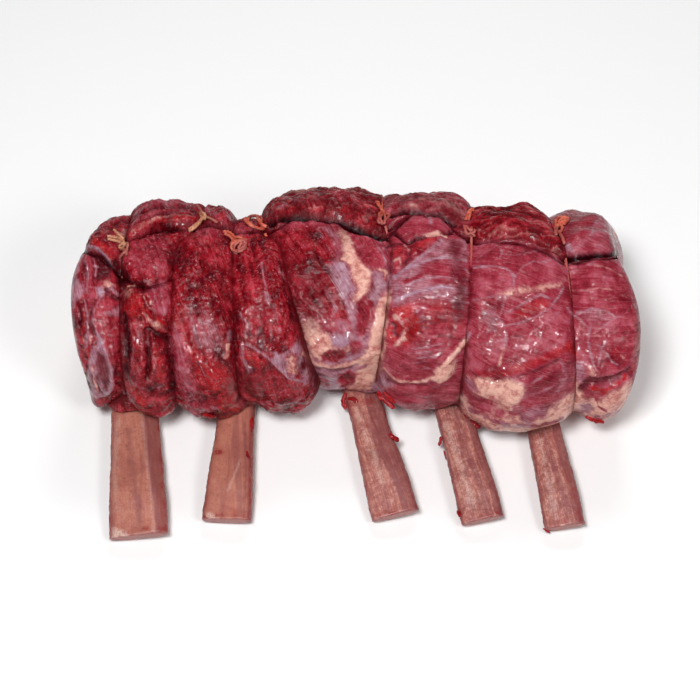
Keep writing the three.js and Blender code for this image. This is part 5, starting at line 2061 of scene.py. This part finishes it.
BONE_MARKS: tuple[Mark, ...] = (
    bright((217, 452), (221, 452), width=2.8, ragged=0.5),
    # Along the first rib's ridge: dark lines, painted shade on the facet past it and a painted highlight on its left.
    dark((145, 412), (151, 470), (159, 543), width=1.2, strength=0.95, ragged=0.4),
    dark((151, 412), (158, 470), (164, 540), width=1, strength=0.8, ragged=0.5),
    dark((146, 412), (162, 412), (170, 543), (160, 543), strength=0.45, ragged=0.4),
    silver((142, 412), (148, 470), (155, 538), width=1.4, strength=0.3, ragged=0.8),
    dark((208, 416), (206, 470), (203, 520), width=2.2, strength=0.7),
    dark((244, 420), (246, 470), (244, 516), width=1.4, strength=0.7, ragged=0.8),
    bright((252, 430), (251, 470), (250, 516), width=2.4, strength=0.6, ragged=1.2),
    silver((204, 524), (206, 512), (213, 515), (219, 521), (217, 526), strength=0.85, ragged=0.8),
    silver((110, 538), (113, 528), (125, 531), (131, 540), strength=0.8, ragged=0.8),
    silver((240, 460), (234, 476), (228, 490), width=0.7, strength=0.5, ragged=0.4),
    bright((226, 506), (236, 512), (232, 520), width=3, strength=0.4, ragged=1.4),
    silver((118, 420), (114, 470), (116, 510), width=2.6, strength=0.25, ragged=1.8, soft=2),
    dark((128, 430), (134, 480), (140, 520), width=3, strength=0.45, ragged=2, soft=2),
    bright((350, 404), (372, 400), width=3, strength=0.6, ragged=1.4),
    bright((361, 424), (366, 426), width=2.5, strength=0.6, ragged=1.2),
    silver((356, 410), (372, 450), (382, 480), width=3, strength=0.4, ragged=2, soft=2),
    dark((359, 406), (381, 456), (400, 495), width=0.9, strength=0.8, ragged=0.5),
    dark((372, 402), (392, 446), (410, 492), width=0.8, strength=0.7, ragged=0.5),
    dark((462, 452), (463, 456), width=1, strength=0.9, ragged=0.5),
    dark((467, 461), (469, 464), width=1, strength=0.9, ragged=0.5),
    dark((464, 471), (466, 475), width=1, strength=0.9, ragged=0.5),
    silver((446, 424), (462, 470), (472, 505), width=3.4, strength=0.35, ragged=2, soft=2),
    dark((564, 440), (574, 490), (580, 526), width=3, strength=0.6, ragged=1.6, soft=1.4),
    bright((566, 470), (576, 500), (582, 526), width=2, strength=0.55, ragged=1.6),
    silver((540, 440), (548, 480), (556, 516), width=2.4, strength=0.35, ragged=2, soft=2),
)


@dataclass(frozen=True)
class Shred:
    """A loose shred of red tissue, by pixels of the picture and its width in millimetres."""

    places: tuple[Pixel, ...]
    width: float
    lift: float = 0.5


SHREDS: tuple[Shred, ...] = (
    Shred(((346, 396), (344, 401), (346, 407)), 3.6),
    Shred(((350, 399), (356, 401)), 2.8),
    Shred(((380, 394), (386, 400), (392, 405)), 5.0),
    Shred(((386, 394), (393, 400)), 3.6),
    Shred(((391, 437), (395, 440)), 4.2, 1.0),
    Shred(((442, 439), (441, 443)), 3.4, 0.8),
    Shred(((440, 452), (442, 458)), 2.0),
    Shred(((466, 416), (472, 421), (477, 426)), 4.2),
    Shred(((459, 512), (461, 515)), 2.6, 0.8),
    Shred(((578, 417), (584, 419), (590, 421)), 4.4),
    Shred(((544, 529), (549, 531)), 2.2),
    Shred(((252, 420), (251, 430)), 3.0),
    Shred(((247, 453), (248, 457)), 2.2),
    Shred(((205, 414), (213, 416)), 2.8),
)


@dataclass
class LooseShreds:
    """The shreds of red tissue that hang on at the necks and edges of the bones."""

    noise: Noise
    probe: Probe
    around: int = 20
    rings: int = 26
    redness: float = 0.95
    roughness: float = 0.6

    def build(self, finish: bpy.types.Material) -> bpy.types.Object:
        """Mould the shreds and join them.

        Args:
            finish: The meat's material.

        Returns:
            The finished piece.
        """
        piece = choose(*[self.shred(number, one) for number, one in enumerate(SHREDS)])
        bpy.ops.object.join()
        piece.name = piece.data.name = "loose_shreds"
        return hand_over(piece, finish, "meat")

    def shred(self, number: int, one: Shred) -> bpy.types.Object:
        """Mould one shred along its places.

        Args:
            number: The shred's number.
            one: The shred.

        Returns:
            The shred.
        """
        piece = put("shred", self.around, self.rings)
        ring, turn = sheet_places(piece, self.rings)
        found = self.probe.carried(one.places)
        spots = np.array([np.array(spot) + np.array(out) * one.lift for spot, out in found])
        share = ring / self.rings
        stops = np.linspace(0, 1, len(spots))
        centre = np.stack([np.interp(share, stops, spots[:, axis]) for axis in range(3)], 1)
        run = spots[-1] - spots[0]
        run = run / max(np.linalg.norm(run), 1e-6)
        out = np.mean([np.array(normal) for _, normal in found], axis=0)
        aside = np.cross(run, out)
        aside = aside / max(np.linalg.norm(aside), 1e-6)
        out = np.cross(aside, run)
        reach = 0.38 * one.width * np.sqrt(np.clip(1 - np.abs(2 * share - 1) ** 2.4, 0, 1))
        turned = centre + (one.width * np.array([np.cos(turn), np.sin(turn), 0 * turn])).T
        rough = 1 + 1.1 * self.noise.rough(turned + 3.1 * number, 2.2, 3)
        across = aside * (reach * rough * np.cos(turn))[:, None] + out * (0.65 * reach * rough * np.sin(turn))[:, None]
        points = centre + across - run * (0.5 * one.width * np.cos(math.pi * share))[:, None]
        points[:, 2] = np.maximum(points[:, 2], 0.05)
        mould(piece, points)
        lay_grain(piece, share * 8, turn)
        stain(piece, "bright", np.full(len(points), self.redness))
        stain(piece, "rough", np.full(len(points), self.roughness))
        close_up(piece)
        return piece


def frames_along(route: np.ndarray) -> tuple[np.ndarray, np.ndarray]:
    """Give two directions across a route at each of its points, with as little turning as can be.

    Args:
        route: Points as rows.

    Returns:
        The two directions at each point.
    """
    ahead = np.gradient(route, axis=0)
    ahead /= np.linalg.norm(ahead, axis=1, keepdims=True)
    first = np.zeros_like(route)
    guess = np.array([1.0, 0, 0]) if abs(ahead[0][0]) < 0.8 else np.array([0, 1.0, 0])
    for number, direction in enumerate(ahead):
        guess = guess - direction * (guess @ direction)
        guess /= np.linalg.norm(guess)
        first[number] = guess
    return first, np.cross(ahead, first)


def smooth_route(points: np.ndarray, spacing: float) -> np.ndarray:
    """Run a smooth curve through points.

    Args:
        points: Points as rows.
        spacing: Distance between the new points.

    Returns:
        Evenly spaced points on the curve.
    """
    padded = np.vstack([2 * points[0] - points[1], points, 2 * points[-1] - points[-2]])
    dense = []
    for number in range(1, len(padded) - 2):
        before, here, after, beyond = padded[number - 1:number + 3]
        for share in np.linspace(0, 1, 16, endpoint=False):
            dense.append(0.5 * (2 * here + (after - before) * share
                                + (2 * before - 5 * here + 4 * after - beyond) * share ** 2
                                + (3 * here - before - 3 * after + beyond) * share ** 3))
    dense.append(points[-1])
    dense = np.array(dense)
    run = np.concatenate([[0], np.cumsum(np.linalg.norm(np.diff(dense, axis=0), axis=1))])
    even = np.linspace(0, run[-1], max(int(run[-1] / spacing), 4) + 1)
    return np.stack([np.interp(even, run, dense[:, axis]) for axis in range(3)], 1)


@dataclass(frozen=True)
class Strand:
    """A strand of a knot, by pixels of the picture and its height in millimetres above what it lies on."""

    places: tuple[tuple[float, float, float], ...]
    thin: float = 1.0


@dataclass
class TwineLoop:
    """A loop of two-ply twine sunk in a groove of the meat, with the strands of its knot."""

    index: int
    noise: Noise
    probe: Probe
    strands: tuple[Strand, ...]
    sink: float = 1.9
    radius: float = 0.95
    pitch: float = 4.2
    spacing: float = 0.55
    around: int = 10
    gap: float = 2.0
    lift: float = 4.0
    lift_width: float = 3.4
    dry_reach: float = 7.0
    seat: float = 0.75
    loop_points: int = 120

    def distance(self, degrees: np.ndarray) -> np.ndarray:
        """Give the distance from the meat's axis to the twine's middle.

        Args:
            degrees: Angles round the axis, in degrees.

        Returns:
            The distance at each angle.
        """
        groove = FORM.grooves[self.index]
        rise = self.lift * bell((degrees % 360 - groove.knot) / self.lift_width)
        return FORM.groove_radius(self.index, np.radians(degrees)) - self.sink + self.radius + rise

    def tube(self, name: str, route: np.ndarray, thin: float = 1.0) -> bpy.types.Object:
        """Mould twine along a route.

        Args:
            name: Name of the piece.
            route: Evenly spaced points in millimetres.
            thin: Factor on the twine's thickness.

        Returns:
            The length of twine.
        """
        rings = len(route) + 1
        piece = put(name, self.around, rings)
        ring, turn = sheet_places(piece, rings)
        number = np.clip(ring.astype(int) - 1, 0, len(route) - 1)
        first, second = frames_along(route)
        run = number * self.spacing
        angle = -turn
        ply = angle + 2 * math.pi * run / self.pitch
        reach = self.radius * thin * (0.6 + 0.42 * np.abs(np.cos(ply)) ** 1.2)
        reach = reach * (1 + 0.12 * self.noise.at(np.stack([run / 1.6, np.cos(angle), np.sin(angle) + self.index], 1)))
        reach = np.where((ring == 0) | (ring == rings), 0, reach)
        sideways = first[number] * np.cos(angle)[:, None] + second[number] * np.sin(angle)[:, None]
        points = route[number] + sideways * reach[:, None]
        mould(piece, points)
        lay_grain(piece, run, ply * self.radius)
        away = np.linalg.norm(points - self.knot_place, axis=1)
        stain(piece, "soaked", step(self.dry_reach, 1.8 * self.dry_reach, away))
        # Painted shade in the grooves between the two plies.
        stain(piece, "hollow_shade", 1 - np.abs(np.cos(ply)))
        close_up(piece)
        return piece

    def build(self, finish: bpy.types.Material) -> bpy.types.Object:
        """Mould the loop with its knot and dress it.

        Args:
            finish: The twine's material.

        Returns:
            The finished piece.
        """
        knot = FORM.grooves[self.index].knot
        routes = []
        for strand in self.strands:
            points = []
            for across, down, height in strand.places:
                place, outward = self.probe.seen((across, down))
                points.append(np.array(place) + np.array(outward) * (self.radius * strand.thin * self.seat + height))
            routes.append(np.array(points))
        self.knot_place = np.mean(routes[0], axis=0)
        degrees = np.linspace(knot + self.gap, knot + 360 - self.gap, self.loop_points)
        angles = np.radians(degrees)
        loop = on_section(FORM.groove_x(self.index, angles), self.distance(degrees), angles)
        parts = [self.tube(f"twine_loop_{self.index + 1}", smooth_route(loop, self.spacing))]
        for strand, route in zip(self.strands, routes):
            parts.append(self.tube("strand", smooth_route(route, self.spacing), strand.thin))
        piece = choose(*parts)
        bpy.ops.object.join()
        return hand_over(piece, finish, f"twine_{self.index + 1}")


KNOTS: tuple[tuple[Strand, ...], ...] = (
    (
        Strand(((107, 237.5, 0.2), (112, 238, 0.6), (118, 240, 0.6), (124, 244, 0.5))),
        Strand(((107, 240, 0.1), (113, 241.5, 0.4), (119, 243, 1.4), (126, 246, 0.5))),
        Strand(((114, 231, 0.1), (116, 235, 0.6), (119, 241, 2.0), (122, 245, 0.8))),
        Strand(((129, 245, 0.2), (125, 246, 1.6), (123, 249, 1.4), (126, 252, 0.8), (124, 255, 0.5),
                (121.5, 258, 0.2))),
        Strand(((122, 250, 0.2), (125.5, 248, 2.4), (128, 252, 0.8), (127, 256, 0.2)), 0.9),
    ),
    (
        Strand(((188.5, 228.5, 0.3), (193, 225.5, 0.5), (199, 221, 0.6), (206, 217, 0.8))),
        Strand(((189, 229.5, 1.5), (195, 225.5, 1.8), (201, 221, 1.6), (207, 217.5, 0.6))),
        Strand(((204, 219, 0.2), (204, 215.5, 1.8), (208, 215, 1.8), (208, 219, 0.8), (204, 219.5, 1.0)), 1.1),
        Strand(((206, 217, 0.4), (200, 211, 0.4), (195.5, 206, 0.2)), 0.8),
        Strand(((206, 217, 0.4), (212, 219, 0.4), (218, 222, 0.1)), 0.8),
    ),
    (
        Strand(((223, 232, 0.1), (228, 233.5, 0.4), (233, 238, 0.6), (235, 242, 0.8))),
        Strand(((224, 234, 0.1), (229, 237, 0.5), (234, 241, 1.0))),
        Strand(((233, 241, 0.3), (240, 239, 1.0), (246, 242, 0.6), (243, 247, 1.4), (237, 251, 0.6), (233, 247, 0.4),
                (236, 243, 1.8), (242, 244, 1.6), (240, 249, 1.0))),
        Strand(((231, 245, 0.2), (237, 246, 2.2), (243, 243, 2.2), (246, 247, 0.6), (241, 252, 0.4), (235, 249, 1.4),
                (238, 245, 2.6), (244, 245, 1.0))),
        Strand(((247, 240, 0.1), (243, 242, 1.6), (239, 247, 2.8), (236, 252, 0.4), (238, 254, 0.1)), 0.9),
    ),
    (
        Strand(((245, 220, 0.3), (249, 225, 0.5), (256, 228, 0.5), (263, 228, 0.4), (267, 226, 0.2))),
        Strand(((246, 222, 1.0), (251, 226.5, 1.2), (258, 229.5, 1.0), (265, 229, 0.4))),
        Strand(((247, 221, 0.4), (250, 218.5, 0.6), (256, 218, 0.7), (261, 220, 0.8), (264, 224, 1.2),
                (267, 227, 0.3))),
        Strand(((251, 219, 1.2), (257, 219, 1.8), (262, 222, 1.8), (265, 227, 0.8)), 0.9),
    ),
    (
        Strand(((376, 203, 0.2), (378, 206, 0.6), (381, 210, 0.6), (384, 214, 1.2))),
        Strand(((378, 202.5, 0.2), (380, 207, 1.0), (383.5, 211, 0.8)), 0.85),
        Strand(((383, 213.5, 0.4), (387, 216, 0.7), (387, 221, 0.7), (383, 225, 0.6), (378, 223, 0.7), (378, 218, 0.7),
                (382, 214.5, 0.9), (386, 215.5, 1.8))),
        Strand(((385, 214, 1.4), (388, 218.5, 1.8), (386, 223.5, 1.6), (381, 225, 1.2), (378.5, 220.5, 1.5),
                (381, 216, 1.6)), 0.85),
    ),
    (
        Strand(((466, 221, 0.2), (466.5, 216, 0.5), (469, 212, 0.6), (474, 210, 0.3))),
        Strand(((468, 221, 0.3), (469, 216.5, 1.2), (472, 212.5, 1.0), (475, 211.5, 0.2)), 0.85),
        Strand(((464.5, 226, 0.3), (464, 230, 0.6), (466.5, 234, 0.6), (471, 236, 0.6), (475.5, 233.5, 0.6),
                (476, 230, 0.3))),
        Strand(((466, 227, 0.8), (467, 231, 1.6), (470.5, 233, 1.4), (474, 231, 1.2), (472.5, 228.5, 0.4))),
        Strand(((463.5, 232, 0.2), (467, 235, 1.6), (472, 234.5, 1.8), (476, 236, 0.2)), 0.85),
    ),
    (
        Strand(((556, 228, 0.3), (557, 222, 0.8), (562, 219, 0.8), (568, 220.5, 0.5), (565, 225, 1.2),
                (558, 229, 1.0))),
        Strand(((554, 233, 0.3), (557, 229, 1.2), (562, 225, 1.8), (567, 223, 1.0))),
        Strand(((555, 236, 0.3), (554, 231, 1.0), (559, 228, 2.0), (563, 231, 1.4), (560, 236, 0.8), (556, 233, 1.6))),
        Strand(((558, 224, 0.8), (563, 222.5, 1.8), (568, 222, 0.6)), 0.9),
        Strand(((561, 235, 0.8), (560.5, 239, 0.6), (562, 243, 0.5), (563.5, 245, 0.2)), 1.15),
    ),
)


@dataclass(frozen=True)
class SoftLight:
    """A soft lamp aimed at the roast. One for glints shows in the gloss alone."""

    name: str
    azimuth: float
    elevation: float
    distance: float
    size: float
    power: float
    for_glints: bool = False

    def build(self) -> bpy.types.Object:
        """Hang the lamp.

        Returns:
            The lamp object.
        """
        lamp = bpy.data.lights.new(self.name, "AREA")
        lamp.shape = "SQUARE"
        lamp.size = self.size
        lamp.energy = self.power
        holder = bpy.data.objects.new(self.name, lamp)
        turn, rise = math.radians(self.azimuth), math.radians(self.elevation)
        way = Vector((math.sin(turn) * math.cos(rise), -math.cos(turn) * math.cos(rise), math.sin(rise)))
        holder.location = Vector((0, 0, 0.05)) + way * self.distance
        holder.rotation_euler = way.to_track_quat("Z", "Y").to_euler()
        holder.visible_diffuse = not self.for_glints
        bpy.context.scene.collection.objects.link(holder)
        return holder


@dataclass
class Studio:
    """The plain pale floor, the soft lamps and the camera."""

    floor_size: float = 6.0
    floor_depth: float = 0.0004
    floor_colour: Colour = paint(246, 246, 246)
    sky: float = 0.11
    lamps: tuple[SoftLight, ...] = (
        SoftLight("key", -25, 66, 1.3, 0.3, 13.5),
        SoftLight("fill", 45, 48, 1.5, 0.4, 5.6),
        SoftLight("back", 170, 50, 1.4, 0.4, 4.8),
        SoftLight("left_glints", -40, 40, 1.2, 0.15, 11, True),
        SoftLight("right_glints", 15, 60, 1.2, 0.15, 9, True),
        SoftLight("low_glints", -8, 20, 1.2, 0.17, 15, True),
    )

    def build(self) -> None:
        """Lay the floor, hang the lamps and set up the camera."""
        bpy.ops.object.select_all(action="DESELECT")
        bpy.ops.mesh.primitive_plane_add(size=self.floor_size, location=(0, 0, -self.floor_depth))
        floor = bpy.context.active_object
        floor.name = floor.data.name = "floor"
        material, bench = new_material("pale_floor")
        bench.shade({"Base Color": self.floor_colour, "Roughness": 0.9, "Specular IOR Level": 0.1})
        floor.data.materials.append(material)
        for lamp in self.lamps:
            lamp.build()
        world = bpy.context.scene.world or bpy.data.worlds.new("sky")
        bpy.context.scene.world = world
        world.use_nodes = True
        world.node_tree.nodes["Background"].inputs["Color"].default_value = (1, 1, 1, 1)
        world.node_tree.nodes["Background"].inputs["Strength"].default_value = self.sky
        bpy.context.scene.view_settings.view_transform = "Standard"
        VIEW.build()


@dataclass
class Roast:
    """The whole tied roast. The first loops of twine are clean and the others are stained."""

    sinks: tuple[float, ...] = (2.4, 2.4, 2.4, 2.2, 1.2, 0.8, 0.5)
    clean: int = 2
    meat_seed: int = 11
    bone_seed: int = 23
    shred_seed: int = 31
    twine_seed: int = 5

    def build(self) -> None:
        """Build the meat, the bones and the twine in order."""
        patterns = SharedPatterns()
        meat = MeatFinish().build(patterns)
        bone = BoneFinish().build(patterns)
        cream = TwineFinish("cream_twine", paint(150, 74, 50), paint(206, 140, 104), paint(234, 186, 146))
        stained = TwineFinish("stained_twine", paint(150, 34, 26), paint(222, 98, 70), paint(244, 150, 116))
        twines = [cream.build(patterns)] * self.clean + [stained.build(patterns)] * (len(KNOTS) - self.clean)
        lobes = []
        for index in range(len(FORM.lobes)):
            lobes.append(MeatLobe(index, Noise(self.meat_seed)).build(meat))
            log.info("%s: %d faces", lobes[-1].name, len(lobes[-1].data.polygons))
        ribs = [RibBone(index, Noise(self.bone_seed)).build(bone) for index in range(len(RIB_FORM.ribs))]
        log.info("ribs: %d", len(ribs))
        probe = Probe(lobes + ribs)
        LooseShreds(Noise(self.shred_seed), probe).build(meat)
        for index in range(len(FORM.grooves)):
            loop = TwineLoop(index, Noise(self.twine_seed), probe, KNOTS[index], self.sinks[index])
            piece = loop.build(twines[index])
            log.info("%s: %d faces", piece.name, len(piece.data.polygons))


def main() -> None:
    """Build everything."""
    logging.basicConfig(level=logging.INFO, format="%(message)s")
    Studio().build()
    Roast().build()


if __name__ == "__main__":
    main()
